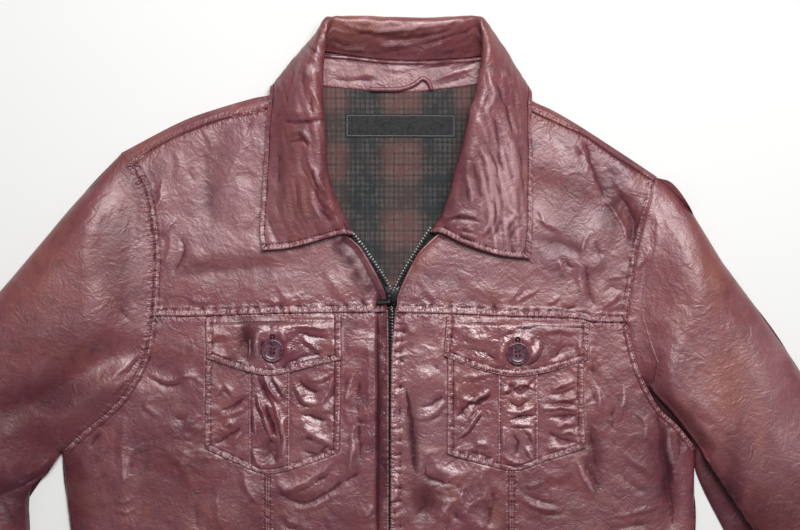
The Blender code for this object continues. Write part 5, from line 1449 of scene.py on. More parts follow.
def right_sleeve(step, hidden, finish):
    """The right sleeve's top: it rolls over at its fold, turns under and runs on to the inner edge."""
    outer, inner = sleeve_rows("right", step, hidden)
    shares = np.linspace(0.35, 0.99, 65)
    fold = np.ones(len(outer))
    depth = np.zeros(len(outer))
    for k, (a, b) in enumerate(zip(outer, inner)):
        past = nearest(a + (b - a) * shares[:, None], FOLD_PATH)[1]
        crossed = (past > 0) & (b[1] < -62)
        fold[k] = shares[crossed.argmax()] if crossed.any() else 0.86
        depth[k] = smooth((-62 - b[1]) / 26)
    soft = np.convolve(np.pad(fold, 6, mode="edge"), np.ones(13) / 13, mode="valid")
    fold = np.where(depth > 0.5, 0.35 * soft + 0.65 * fold, soft)
    span = np.linalg.norm(inner - outer, axis=1)
    toward = (inner - outer) / span[:, None]
    shown = (*graded(150, step)[:-2], 0.995)
    plan = np.stack([outer + toward * (span * fold * share)[:, None] for share in shown], axis=1)
    edge = outer + toward * (span * fold)[:, None]
    relief = front_relief(plan)
    z = height(plan) + relief
    lip = z[:, -1]
    strip_low = 2.6 + 1.6 * depth
    beyond = span * (1 - fold)
    turned = [seat(plan, z)]
    radius = np.minimum(2.4 * depth, 0.3 * beyond)
    for angle in np.radians([40, 90, 140, 180]):
        out = edge + toward * (radius * math.sin(angle))[:, None]
        drop = np.where(depth > 0, 1.5 * radius * (1 - math.cos(angle)), 0)
        turned.append(seat(out[:, None], (lip - drop)[:, None]))
    back = np.minimum(7.0 * depth, 0.3 * span * fold)
    low = lip - 3 * radius
    floor = np.minimum(low - 0.8 * depth, strip_low + (lip - strip_low) * (1 - depth))
    turned.append(seat((edge - toward * (0.6 * back)[:, None])[:, None], (0.5 * low + 0.5 * floor)[:, None]))
    turned.append(seat((edge - toward * (0.5 * back)[:, None])[:, None], (floor - 0.2 * depth)[:, None]))
    for share in (0.12, 0.3, 0.5, 0.7, 0.85, 0.94, 0.98, 1.0):
        spot = edge + toward * (beyond * share)[:, None]
        rim = RIM_Z + (EDGE_Z - RIM_Z) * round_edge(beyond * (1 - share) / 2.0)
        deep = floor * (1 - share) + (EDGE_Z + 0.6) * share + 0.5 * noise(spot[:, 0], spot[:, 1], 18, 5)
        deep = np.where(share > 0.5, np.minimum(deep, rim + 3 * (1 - share)), deep)
        plain = height(spot) + front_relief(spot)
        turned.append(seat(spot[:, None], (plain * (1 - depth) + deep * depth)[:, None]))
    surface = np.concatenate(turned, axis=1)[::-1, ::-1]
    field = np.concatenate([relief, np.zeros((len(outer), surface.shape[1] - relief.shape[1]))], axis=1)[::-1, ::-1]
    inner_face = surface.copy()
    inner_face[..., 2] = np.maximum(surface[..., 2] - 0.9, 0.1)
    shaded = hide_marks(surface[..., :2], field)
    # Painted shade: the strip under the sleeve's fold is darkened.
    under = np.zeros(field.shape)
    under[:, : surface.shape[1] - relief.shape[1] - 4] = 1
    shaded["dusk"] = np.maximum(shaded["dusk"], 0.8 * under * depth[::-1][:, None])
    sheet_piece("hide_sleeve_top_right", "sleeve_top_right", surface, inner_face, shaded, finish)


def build_cuffs(finish):
    """Two flat tubes, with their hems turned in."""
    for side, (end_out, end_in) in CUFF_END.items():
        seam_out, seam_in = SLEEVE_OUT[side][-1], SLEEVE_IN[side][-1]
        shares = graded(120, 3.0)
        along = np.array([0, 0.01, 0.03, 0.08, 0.16, 0.3, 0.5, 0.7, 0.84, 0.92, 0.97, 1.0])
        rings = []
        for share in along:
            first = np.array(seam_out) * (1 - share) + np.array(end_out) * share
            last = np.array(seam_in) * (1 - share) + np.array(end_in) * share
            plan = first + (last - first) * shares[:, None]
            z = height(plan) + crumple(plan, 0.5, 70) * smooth(np.minimum(shares, 1 - shares) * 12)
            z = np.maximum(z + 0.7 * round_edge(share * 48 / 1.5), 1.4)
            z[[0, -1]] = 1.3
            under = seat(plan[::-1] * 0.99 + plan.mean(axis=0) * 0.01, np.full(len(plan), 0.05))
            ring = np.vstack([seat(plan, z), under[1:-1], [[*plan[0], z[0]]]])
            rings.append(ring)
        outer = np.array(rings)
        centre = outer[:, :-1].mean(axis=1, keepdims=True)
        inner = outer.copy()
        inner[..., :2] = centre[..., :2] + (outer[..., :2] - centre[..., :2]) * 0.985
        inner[..., 2] = np.clip(outer[..., 2] - 1.1, 1.1, None)
        marks = hide_marks(outer[..., :2], np.zeros(outer.shape[:2]))
        sheet_piece("hide_cuff_" + side, "cuff_" + side, outer, inner, marks, finish)


def build_pockets(sizes, finish):
    step = 0.8 * sizes.panel_step / MM
    for side in ("left", "right"):
        plan = POCKET[side]
        left, right = spline(plan["left"])[::-1], spline(plan["right"])[::-1]
        bottom = spline(plan["bottom"])
        grid = panel_grid(bottom, right, np.array([left[-1], right[-1]]), left, step)
        relief = pocket_relief(grid, side)
        x0, x1 = plan["strip"]
        z = height(grid) + POCKET_RISE + relief
        front_piece("pocket_" + side, grid, z, relief, finish, edges=[POCKET_RIM[side]], reach=3.4)
        low = [(x, np.interp(x, bottom[:, 0], bottom[:, 1]) + 1.2) for x in (x0, (x0 + x1) / 2, x1)]
        high = [(x0, STRIP_TOP), (x1, STRIP_TOP)]
        upright = [np.array([low[end], high[end]]) for end in (0, -1)]
        grid = panel_grid(spline(low), upright[1], np.array(high), upright[0], 0.85 * step)
        relief = strip_relief(grid, side)
        rims = [np.array([(x, -150.0), (x, -30.0)]) for x in (x0, x1)]
        z = height(grid) + STRIP_RISE + relief
        front_piece("pocket_strip_" + side, grid, z, relief, finish, 0.9, rims, 1.4)
        flap = {edge: spline(FLAP[side][edge]) for edge in FLAP[side]}
        grid = panel_grid(flap["bottom"], flap["right"], flap["top"], flap["left"], 0.9 * step)
        relief = flap_relief(grid, side)
        z = height(grid) + flap_stand(grid, side) + relief
        front_piece("flap_" + side, grid, z, relief, finish, 1.6, [FLAP_RIM[side]], 3.4)


def collar_grid(step):
    stations = np.array(COLLAR, float)
    width = np.mean([run_of(station)[-1] for station in stations])
    across = graded(width, step)
    rows = np.array([sample(spline(station), across) for station in stations])
    flat = spline(rows.reshape(len(rows), -1), 12)
    length = run_of(flat)[-1] / math.sqrt(len(across))
    grid = sample(flat, graded(length, step)).reshape(-1, len(across), 3)
    grid[..., 2] = np.maximum(grid[..., 2], 0)
    grid[..., 2] = np.where(grid[..., 2] < 2, np.maximum(2 * grid[..., 2] - 2, 0), grid[..., 2])
    return grid


def normals_of(grid):
    normal = np.cross(np.gradient(grid, axis=0), np.gradient(grid, axis=1))
    return normal / (np.linalg.norm(normal, axis=-1, keepdims=True) + 1e-9)


def collar_surface(step):
    """The collar's outer face with its creases, its normals and its distance to the free edges."""
    grid = collar_grid(step)
    normal = normals_of(grid)
    seams = np.linalg.norm(np.diff(grid, axis=1), axis=-1)
    to_free = np.hstack([np.cumsum(seams[:, ::-1], axis=1)[:, ::-1], np.zeros((len(grid), 1))])
    steps = np.linalg.norm(np.diff(grid, axis=0), axis=-1)
    run = np.vstack([np.zeros((1, grid.shape[1])), np.cumsum(steps, axis=0)])
    to_front = np.minimum(run, run[-1] - run)
    plan = grid[..., :2]
    facing = smooth((normal[..., 2] + 0.1) / 0.4) * smooth((grid[..., 2] - 6) / 4)
    own = np.stack([run / 2.2 + 0.25 * to_free, to_free], axis=-1)
    relief = crumple(own, 0.8, 80, 0.8) * smooth(grid[..., 2] / 8)
    slanted = to_free + 0.3 * run + 3 * noise(run, to_free, 30, 84)
    relief += 0.75 * noise(run / 4.5, slanted, 6.5, 83) * facing * smooth(to_free / 12)
    relief += 0.95 * facing * crease_heights(plan, COLLAR_CREASES)
    edge = lap(to_free, run, (COLLAR_ROW,), 0.4, 0.42, 85) - 0.9 * (1 - round_edge(to_free / 1.3))
    relief += edge * smooth(grid[..., 2] / 8)
    front = lap(to_front, to_free, (COLLAR_ROW,), 0.4, 0.5, 87) - 0.9 * (1 - round_edge(to_front / 1.3))
    relief += front * smooth((run[-1] * 0.2 - to_front) / 20)
    return grid, normal, relief, to_free, to_front, run


def build_collar(sizes, finish):
    grid, normal, relief, to_free, to_front, run = collar_surface(sizes.panel_step / MM)
    outer = grid + normal * relief[..., None]
    outer[..., 2] = np.maximum(outer[..., 2], 0)
    inner = grid - normal * (1.9 - np.minimum(relief, 0))[..., None]
    inner[..., 2] = np.maximum(inner[..., 2], 0.05)
    near = 0.7 * bell(np.maximum(np.minimum(to_free, to_front) - 1.5, 0), 3.2)
    # Wear at the collar's edges, and painted highlights at the highlight spots.
    bare = bell(np.maximum(np.minimum(to_free, to_front) - 0.4, 0), 0.6)
    bare = np.maximum(bare, tint(outer[..., :2], PAINTED_HIGHLIGHT_SPOTS))
    along = np.where(to_free < to_front, run, 500 + to_free)
    marks = hide_marks(outer[..., :2], relief, near, along, bare)
    sheet_piece("hide_collar", "collar", outer, inner, marks, finish)


def cloth_relief(grid):
    """The soft waves of the lining and its label."""
    x, y = grid[..., 0], grid[..., 1]
    return 0.5 * noise(x, y, 50, 93) + 0.25 * noise(x, y, 18, 94)


def build_neck(sizes, hide, plaid, woven):
    """What shows in the open neck: facing, lining, label and hanger loop."""
    step = 1.1 * sizes.panel_step / MM
    seam = spline([(-60, 218.9)] + NECK_BACK[1:-1] + [(81, 216.3)]) - (0, 0.3)
    lower = spline([(-66, 190.2), (-40.3, 187.6), (9.4, 184.1), (54.6, 188), (84, 192.4)])
    grid = panel_grid(lower, np.array([lower[-1], seam[-1]]), seam, np.array([lower[0], seam[0]]), step)
    to_seam, _, run = nearest(grid, seam)
    to_low = nearest(grid, lower)[0]
    relief = crumple(grid, 0.4, 90) + crease_heights(grid, FACING_CREASES)
    relief += 1.1 * bell(to_seam - 1.8, 1.1) + 0.25 * noise(run, to_seam, 6, 91) * bell(to_seam, 4)
    relief -= 0.8 * (1 - round_edge(to_low / 1.2))
    z = lift(grid, LINING_RISE_Y) + 3.0 + relief
    marks = hide_marks(grid, relief)
    sheet_piece("hide_neck_facing", "neck_facing", seat(grid, z), seat(grid, z - 1.4), marks, hide)
    left = spline([(-34, -6), (-56, 52), (-66, 110), (-66, 190.2)])
    right = spline([(38, -6), (58, 52), (76, 110), (84, 192.4)])
    grid = panel_grid(np.array([(-34.0, -6), (38, -6)]), right, lower, left, 2 * step)
    relief = cloth_relief(grid)
    outer = seat(grid, lift(grid, LINING_RISE_Y) + 2.5 + relief)
    marks = hide_marks(grid, relief)
    sheet_piece("cloth_lining", "lining_back", outer, outer - (0, 0, 0.7), marks, plaid)
    corners = [(-40.3, 144.6), (57.3, 144.3), (57.3, 164.6), (-40.3, 164.9)]
    grid = four_sided(*corners, 0.8 * step)
    x, y = grid[..., 0], grid[..., 1]
    rim = np.minimum.reduce([x - x.min(), x.max() - x, y - y.min(), y.max() - y])
    relief = cloth_relief(grid) - 0.4 * bell(rim - 1.8, 0.6)
    outer = seat(grid, lift(grid, LINING_RISE_Y) + 3.4 + relief)
    marks = hide_marks(grid, relief)
    sheet_piece("woven_label", "label", outer, outer - (0, 0, 0.6), marks, woven)
    build_loop(hide)


def build_loop(hide):
    """A narrow rolled strap, caught under the facing at both ends."""
    path = spline([(-19, 187.0), (-8, 186.6), (8, 187), (20, 191), (28, 196.4), (33.5, 193), (36, 186.6)], 8)
    ahead = np.gradient(path, axis=0)
    ahead /= np.linalg.norm(ahead, axis=1, keepdims=True)
    sideways = np.stack([-ahead[:, 1], ahead[:, 0]], axis=1)
    base = lift(path, LINING_RISE_Y) + 5.0
    run = run_of(path)
    arch = 1.6 * np.sin(np.pi * run / run[-1]) ** 0.7
    rows = []
    for angle in np.linspace(0, math.pi, 9):
        out = path + sideways * (-1.9 * math.cos(angle))
        rows.append(seat(out, base + arch + 1.3 * math.sin(angle)))
    outer = np.array(rows)
    inner = outer.copy()
    inner[..., 2] = (base + arch)[None] - 0.5
    inner[..., :2] = path[None] + (outer[..., :2] - path[None]) * 0.9
    marks = hide_marks(outer[..., :2], np.zeros(outer.shape[:2]))
    mesh = wall_mesh("hide_hanger_loop", outer, inner, marks)
    made = add_piece("hide_hanger_loop", mesh, "hanger_loop", hide)
    outer.transpose(1, 0, 2)


def stitch_row(path, shift, pitch, z_of, seed=0, skip=None):
    """Stitches beside a path, shifted to its right-hand side: middles, directions and their ups."""
    path = np.asarray(path, float)
    ahead = np.gradient(path, axis=0)
    ahead /= np.linalg.norm(ahead, axis=1, keepdims=True) + 1e-9
    row = path + shift * np.stack([ahead[:, 1], -ahead[:, 0]], axis=1)
    length = run_of(row)[-1]
    count = max(int(length / pitch), 2)
    shares = (np.arange(count) + 0.5) / count
    spots = sample(row, shares)
    back = sample(row, shares - 0.32 / count)
    front = sample(row, shares + 0.32 / count)
    wobble = 0.16 * noise(shares * length, np.full(count, 7.0 * seed), 3.1, seed)
    across = np.stack([(front - back)[:, 1], -(front - back)[:, 0]], axis=1)
    across /= np.linalg.norm(across, axis=1, keepdims=True) + 1e-9
    spots = spots + wobble[:, None] * across
    ends = np.concatenate([seat(back, z_of(back)), seat(front, z_of(front))]).reshape(2, count, 3)
    along = ends[1] - ends[0]
    along /= np.linalg.norm(along, axis=1, keepdims=True) + 1e-9
    middle = seat(spots, 0.5 * (ends[0] + ends[1])[:, 2])
    up = np.tile([0.0, 0, 1], (count, 1))
    if skip is not None:
        keep = ~skip(spots)
        middle, along, up = middle[keep], along[keep], up[keep]
    return middle, along, up


def stitch_mesh(name, rows, length, girth=0.65):
    """Short thick threads that sink into the hide at both ends."""
    middle, along, up = (np.concatenate(part) for part in zip(*rows))
    across = np.cross(along, up)
    across /= np.linalg.norm(across, axis=1, keepdims=True) + 1e-9
    up = np.cross(across, along)
    rings = []
    for reach, size, sink in ((-0.5, 0.45, -0.34), (-0.3, 1, 0.02), (0.3, 1, 0.02), (0.5, 0.45, -0.34)):
        for side, rise in ((1, 0), (0, 1), (-1, 0), (0, -1)):
            out = across * side * 0.5 * girth * size + up * (rise * 0.5 * girth * size + sink)
            rings.append(middle + along * reach * length + out)
    points = np.stack(rings, axis=1).reshape(-1, 3)
    block = []
    for ring in range(3):
        for k in range(4):
            low, high = 4 * ring, 4 * ring + 4
            block.append([low + k, low + (k + 1) % 4, high + (k + 1) % 4, high + k])
    block += [[3, 2, 1, 0], [12, 13, 14, 15]]
    starts = 16 * np.arange(len(middle))[:, None, None]
    mesh = bpy.data.meshes.new(name)
    mesh.from_pydata((points * MM).tolist(), [], (np.array(block)[None] + starts).reshape(-1, 4).tolist())
    face_outward(mesh)
    return mesh


def add_stitches(name, rows, sizes, thread):
    made = add_piece(name, stitch_mesh(name, rows, sizes.stitch_length / MM), None, thread)
    return made


def under_cover(points):
    """True where a pocket or flap lies over the fronts."""
    covered = np.zeros(len(points), bool)
    for side in POCKET_RIM:
        covered |= inside_rim(points, POCKET_RIM[side]) > -0.3
        covered |= inside_rim(points, FLAP_RIM[side]) > -0.3
    return covered


def stitch_fronts(sizes, thread):
    rows = []
    pitch = sizes.stitch_pitch / MM
    for number, (path, style) in enumerate(SEAMS):
        side, distances, _, _ = SEAM_STYLES[style]
        for distance in distances:
            for turn in (1, -1) if side == 0 else (side,):
                rows.append(stitch_row(path, turn * distance, pitch, front_z, number, under_cover))
    add_stitches("stitches_fronts", rows, sizes, thread)


def stitch_pockets(sizes, thread):
    rows = []
    pitch = sizes.stitch_pitch / MM
    for side in ("left", "right"):
        on_pocket, on_strip, on_flap = (partial(z_of, side=side) for z_of in (pocket_z, strip_z, flap_z))
        x0, x1 = POCKET[side]["strip"]
        bottom = spline(POCKET[side]["bottom"])

        def below_flap(points):
            under = (points[:, 0] > x0 - 0.5) & (points[:, 0] < x1 + 0.5)
            return under | flap_over(points)

        def flap_over(points):
            return inside_rim(points, FLAP_RIM[side]) > -0.5

        rows.append(stitch_row(POCKET_RIM[side], -POCKET_ROW, pitch, on_pocket, 51, below_flap))
        for x, turn in ((x0, 1), (x1, -1)):
            edge = np.array([(x, np.interp(x, *bottom.T) + 1.2), (x, STRIP_TOP)])
            edge = sample(edge, np.linspace(0, 1, 40))
            rows.append(stitch_row(edge, STRIP_ROW * turn, pitch, on_strip, 53, flap_over))
        keep = bottom[(bottom[:, 0] > x0 + 2) & (bottom[:, 0] < x1 - 2)]
        rows.append(stitch_row(keep, -POCKET_ROW, pitch, on_strip, 54))
        for row in FLAP_ROWS[side]:
            rows.append(stitch_row(FLAP_RIM[side], -row, pitch, on_flap, 55))
        rows.append(stitch_row(spline(FLAP[side]["top"]), FLAP_TOP_ROW, pitch, on_flap, 57))
    add_stitches("stitches_pockets", rows, sizes, thread)


def stitch_collar(sizes, thread):
    """Rows along the collar's free edge and both its fronts."""
    grid, normal, relief, to_free, to_front, _ = collar_surface(2.0 * sizes.panel_step / MM)
    outer = grid + normal * relief[..., None]
    pitch = sizes.stitch_pitch / MM
    rows = []
    last = len(grid) - 1
    lines = [[(i, np.interp(-COLLAR_ROW, -to_free[i], np.arange(grid.shape[1]))) for i in range(len(grid))]]
    for first in (True, False):
        line = []
        for j in range(2, grid.shape[1] - 2):
            reach = to_front[:, j]
            reach = reach if first else reach[::-1]
            where = np.interp(COLLAR_ROW, reach[: last // 2], np.arange(last // 2))
            line.append((where if first else last - where, j))
        lines.append(line)
    for number, line in enumerate(lines):
        spots, ups = [], []
        for i, j in line:
            i0, j0 = min(int(i), last - 1), min(int(j), grid.shape[1] - 2)
            fi, fj = i - i0, j - j0
            low = outer[i0, j0] * (1 - fj) + outer[i0, j0 + 1] * fj
            high = outer[i0 + 1, j0] * (1 - fj) + outer[i0 + 1, j0 + 1] * fj
            spots.append(low * (1 - fi) + high * fi)
            ups.append(normal[i0, j0])
        spots, ups = np.array(spots), np.array(ups)
        start = 0
        if number == 0:
            i, j = np.array(line).astype(int).T
            start = np.argmax(to_front[i, j] > COLLAR_ROW - 0.4)
        spots, ups = spots[start : len(spots) - start], ups[start : len(ups) - start]
        count = max(int(run_of(spots)[-1] / pitch), 2)
        shares = (np.arange(count) + 0.5) / count
        middle = sample(spots, shares)
        along = sample(spots, shares + 0.3 / count) - sample(spots, shares - 0.3 / count)
        along /= np.linalg.norm(along, axis=1, keepdims=True) + 1e-9
        up = ups[np.round(shares * (len(ups) - 1)).astype(int)]
        keep = middle[:, 2] > 4
        rows.append((middle[keep], along[keep], up[keep]))
    add_stitches("stitches_collar", rows, sizes, thread)


def stitch_neck(sizes, thread, pale):
    def on_facing(points):
        return lift(points, LINING_RISE_Y) + 3.6 + 0.3 * noise(points[:, 0], points[:, 1], 9, 91)

    def on_label(points):
        return lift(points, LINING_RISE_Y) + 3.75 + 0.5 * noise(points[:, 0], points[:, 1], 50, 93)

    seam = spline([(-60, 218.9)] + NECK_BACK[1:-1] + [(81, 216.3)]) - (0, 0.3)
    rows = [stitch_row(seam, 0.5, 2.2, on_facing, 61), stitch_row(seam, 3.4, 2.2, on_facing, 62)]
    add_stitches("stitches_facing", rows, sizes, thread)
    corners = np.array([(-38.9, 145.9), (55.9, 145.6), (55.9, 163.3), (-38.9, 163.6), (-38.9, 145.9)])
    path = sample(corners, np.linspace(0, 1, 200))
    mesh = stitch_mesh("stitches_label", [stitch_row(path, 0, 1.9, on_label, 63)], 1.4, 0.5)
    made = add_piece("stitches_label", mesh, None, pale)


def chain_paths(side):
    """The meeting line of the teeth, from the hem to the collar, and the way out from it."""
    route = CHAIN[side]
    path = join(spline(route[:4], 24), spline(route[3:], 24))
    path = sample(path, np.linspace(0, 1, 700))
    ahead = np.gradient(path, axis=0)
    ahead /= np.linalg.norm(ahead, axis=1, keepdims=True)
    turn = 1 if side == "left" else -1
    return path, turn * np.stack([-ahead[:, 1], ahead[:, 0]], axis=1)


def face_where(made, test):
    """Selects, in edit mode, the faces whose middle passes the test."""
    bpy.ops.mesh.select_all(action="DESELECT")
    bpy.ops.object.mode_set(mode="OBJECT")
    for face in made.data.polygons:
        face.select = bool(test(face.center / MM, face.normal))
    bpy.ops.object.mode_set(mode="EDIT")


def start_box(x0, x1, y0, y1, z0, z1):
    """A cube at its size and place, open in edit mode."""
    bpy.ops.object.select_all(action="DESELECT")
    middle = ((x0 + x1) / 2 * MM, (y0 + y1) / 2 * MM, (z0 + z1) / 2 * MM)
    size = ((x1 - x0) * MM, (y1 - y0) * MM, (z1 - z0) * MM)
    bpy.ops.mesh.primitive_cube_add(size=1, location=middle, scale=size)
    made = bpy.context.object
    bpy.ops.object.transform_apply(location=True, rotation=True, scale=True)
    bpy.ops.object.mode_set(mode="EDIT")
    bpy.ops.mesh.select_mode(type="FACE")
    return made


def end_piece(made, bevel=0.0, segments=2):
    bpy.ops.object.mode_set(mode="OBJECT")
    if bevel:
        edges = made.modifiers.new("edges", "BEVEL")
        edges.width = bevel * MM
        edges.segments = segments
        edges.limit_method = "ANGLE"
        bpy.ops.object.modifier_apply(modifier=edges.name)
    bpy.ops.object.shade_smooth_by_angle(angle=math.radians(40))
    return made


def join_all(first, *others):
    bpy.ops.object.select_all(action="DESELECT")
    for made in (first, *others):
        made.select_set(True)
    bpy.context.view_layer.objects.active = first
    bpy.ops.object.join()
    return first


def name_piece(made, name, finish, node, body):
    made.name = name
    made.data.name = name
    made.data.materials.clear()
    made.data.materials.append(finish)
    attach(made, body)
    if node:
        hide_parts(node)
    return made


def one_tooth():
    """One tooth: its head points to -X, and its legs grip the tape at +X."""
    made = start_box(0.9, 3.4, -0.62, 0.62, -1.15, 1.15)
    face_where(made, lambda middle, normal: normal.x < -0.9)
    bpy.ops.mesh.extrude_region_move(TRANSFORM_OT_translate={"value": (-0.8 * MM, 0, 0)})
    bpy.ops.transform.resize(value=(1, 0.62, 0.72), center_override=(0.1 * MM, 0, 0))
    bpy.ops.mesh.extrude_region_move(TRANSFORM_OT_translate={"value": (-0.9 * MM, 0, 0)})
    bpy.ops.transform.resize(value=(1, 1.35, 1.1), center_override=(-0.8 * MM, 0, 0))
    face_where(made, lambda middle, normal: normal.x > 0.9)
    bpy.ops.transform.resize(value=(1, 0.8, 0.7), center_override=(3.4 * MM, 0, 0))
    end_piece(made)
    mesh = made.data
    points = np.array([vert.co[:] for vert in mesh.vertices]) / MM
    faces = [list(face.vertices) for face in mesh.polygons]
    bpy.data.objects.remove(made, do_unlink=True)
    return points, faces


def build_zip(sizes, tape, metal):
    pitch = sizes.tooth_pitch / MM
    model, blocks = one_tooth()
    for side in ("left", "right"):
        path, out = chain_paths(side)
        level = height(path)
        outer = np.array([seat(path + out * reach, level - 2.2) for reach in (1.6, 3.0, 5.0, 7.0, 8.4)])[:, ::4]
        outer = outer if side == "left" else outer[::-1]
        marks = {"crest": np.zeros(outer.shape[:2])}
        mesh = wall_mesh("tape_" + side, outer, outer - (0, 0, 0.5), marks)
        band = add_piece("tape_" + side, mesh, "zip_chain_" + side, tape)
        run = run_of(path)
        places = np.arange(2.0 + (0 if side == "left" else pitch / 2), run[-1] - 1.5, pitch)
        points, faces = [], []
        for number, place in enumerate(places):
            spot = np.array([np.interp(place, run, path[:, 0]), np.interp(place, run, path[:, 1])])
            way = np.array([np.interp(place, run, out[:, 0]), np.interp(place, run, out[:, 1])])
            way /= np.linalg.norm(way)
            z = np.interp(place, run, level) - 1.75
            side_way = np.array([-way[1], way[0]])
            spread = spot + model[:, :1] * way + model[:, 1:2] * side_way
            points.append(np.column_stack([spread, model[:, 2] + z]))
            faces += [[corner + number * len(model) for corner in face] for face in blocks]
        mesh = bpy.data.meshes.new("teeth_" + side)
        mesh.from_pydata((np.vstack(points) * MM).tolist(), [], faces)
        mesh.validate()
        face_outward(mesh)
        # Painted glints: bright heads on every left tooth and on the right teeth above the slider only; partly
        # polish.
        mark = mesh.attributes.new("crest", "FLOAT", "POINT")
        shown = np.where((places > 420) | (side == "left"), 1.0, 0.0)[:, None]
        mark.data.foreach_set("value", (shown * smooth((0.3 - model[:, 0]) / 1.0)).ravel())
        teeth = add_piece("teeth_" + side, mesh, None, metal)
        outer.transpose(1, 0, 2)


def shield(x0, x1, low_x0, low_x1, y0, y1, z0, z1):
    """A slider plate: narrow at its mouth, wide and notched at its shoulders."""
    made = start_box(x0, x1, y0, y1, z0, z1)
    middle = (x0 + x1) / 2
    bpy.ops.mesh.select_all(action="SELECT")
    bpy.ops.mesh.bisect(plane_co=(middle * MM, 0, 0), plane_no=(1, 0, 0))
    bpy.ops.mesh.select_all(action="SELECT")
    bpy.ops.mesh.bisect(plane_co=(0, (y0 + 0.45 * (y1 - y0)) * MM, 0), plane_no=(0, 1, 0))
    bpy.ops.object.mode_set(mode="OBJECT")
    for vert in made.data.vertices:
        spot = vert.co / MM
        if spot.y > y1 - 0.01 and abs(spot.x - middle) < 0.01:
            vert.co.y = (y1 - 3.0) * MM
        if spot.y < y0 + 0.6 * (y1 - y0):
            share = 1.0 if spot.y < y0 + 0.01 else 0.75
            target = low_x0 if spot.x < middle - 0.01 else low_x1 if spot.x > middle + 0.01 else middle
            vert.co.x = (spot.x * (1 - share) + target * share) * MM
    bpy.ops.object.mode_set(mode="EDIT")
    return end_piece(made, 0.45, 3)


def build_slider(metal):
    (x0, y0, _), (x1, y1, _) = (Vector(corner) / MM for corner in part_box("zip_slider"))
    level = float(height(np.array([[1.0, 4.0]]))[0])
    x, _, z = PULL_AXIS
    top = shield(x0, x1, x0 + 2.4, x1 - 2.4, y0, y1, level + 0.3, level + 1.7)
    low = shield(x0 + 1.2, x1 - 1.2, x0 + 2.6, x1 - 2.6, y0, y1 - 0.4, level - 5.2, level - 4.0)
    post = end_piece(start_box(0.2, 2.2, 5.2, 8.4, level - 4.6, level + 0.8), 0.3)
    bridge = start_box(x - 0.5, x + 0.5, y0 + 0.2, y0 + 1.2, level + 1.2, level + 2.0)
    moves = (
        (0, 0.3, z - 1.15 - level - 2.0),
        (0, 1.0, 1.0),
        (0, 6.0, 0.3),
        (0, 5.2, -0.4),
        (0, 1.2, -1.0),
        (0, 0.2, level + 1.6 - z + 0.75),
    )
    face_where(bridge, lambda middle, normal: normal.z > 0.9)
    for number, (dx, dy, dz) in enumerate(moves):
        bpy.ops.mesh.extrude_region_move(TRANSFORM_OT_translate={"value": (dx * MM, dy * MM, dz * MM)})
        if number in (0, 1, 3, 4):
            middle = picked_middle(bridge)
            bpy.ops.transform.rotate(value=-math.radians(40), orient_axis="X", center_override=middle)
    bridge = end_piece(bridge, 0.2)
    made = join_all(top, low, post, bridge)
    name_piece(made, "slider_body", metal, "zip_slider", BODY)


def picked_middle(made):
    """The middle of the picked corners, in edit mode."""
    bpy.ops.object.mode_set(mode="OBJECT")
    spots = [vert.co.copy() for vert in made.data.vertices if vert.select]
    bpy.ops.object.mode_set(mode="EDIT")
    return sum(spots, Vector()) / len(spots)


def build_pull_tab(metal):
    x, y, z = PULL_AXIS
    bpy.ops.object.select_all(action="DESELECT")
    tab = start_box(x - 13.2, x + 0.4, y - 1.8, y + 1.8, z - 1.6, z - 0.8)
    face_where(tab, lambda middle, normal: normal.x < -0.9)
    bpy.ops.transform.resize(value=(1, 1.22, 1), center_override=((x - 13.2) * MM, y * MM, z * MM))
    face_where(tab, lambda middle, normal: abs(normal.z) > 0.9)
    bpy.ops.mesh.inset(thickness=0.55 * MM, depth=-0.16 * MM)
    end_piece(tab, 0.2)
    bpy.ops.mesh.primitive_torus_add(
        location=(x * MM, y * MM, z * MM),
        rotation=(math.pi / 2, 0, 0),
        major_radius=1.32 * MM,
        minor_radius=0.42 * MM,
        major_segments=24,
        minor_segments=10,
    )
    ring = bpy.context.object
    bpy.ops.object.transform_apply(location=True, rotation=True, scale=True)
    bpy.ops.object.mode_set(mode="EDIT")
    bpy.ops.mesh.select_all(action="SELECT")
    bpy.ops.transform.resize(value=(1, 1.9, 1), center_override=(x * MM, y * MM, z * MM))
    end_piece(ring)
    name_piece(join_all(tab, ring), "pull_tab_metal", metal, "zip_pull_tab", TAB_BODY)


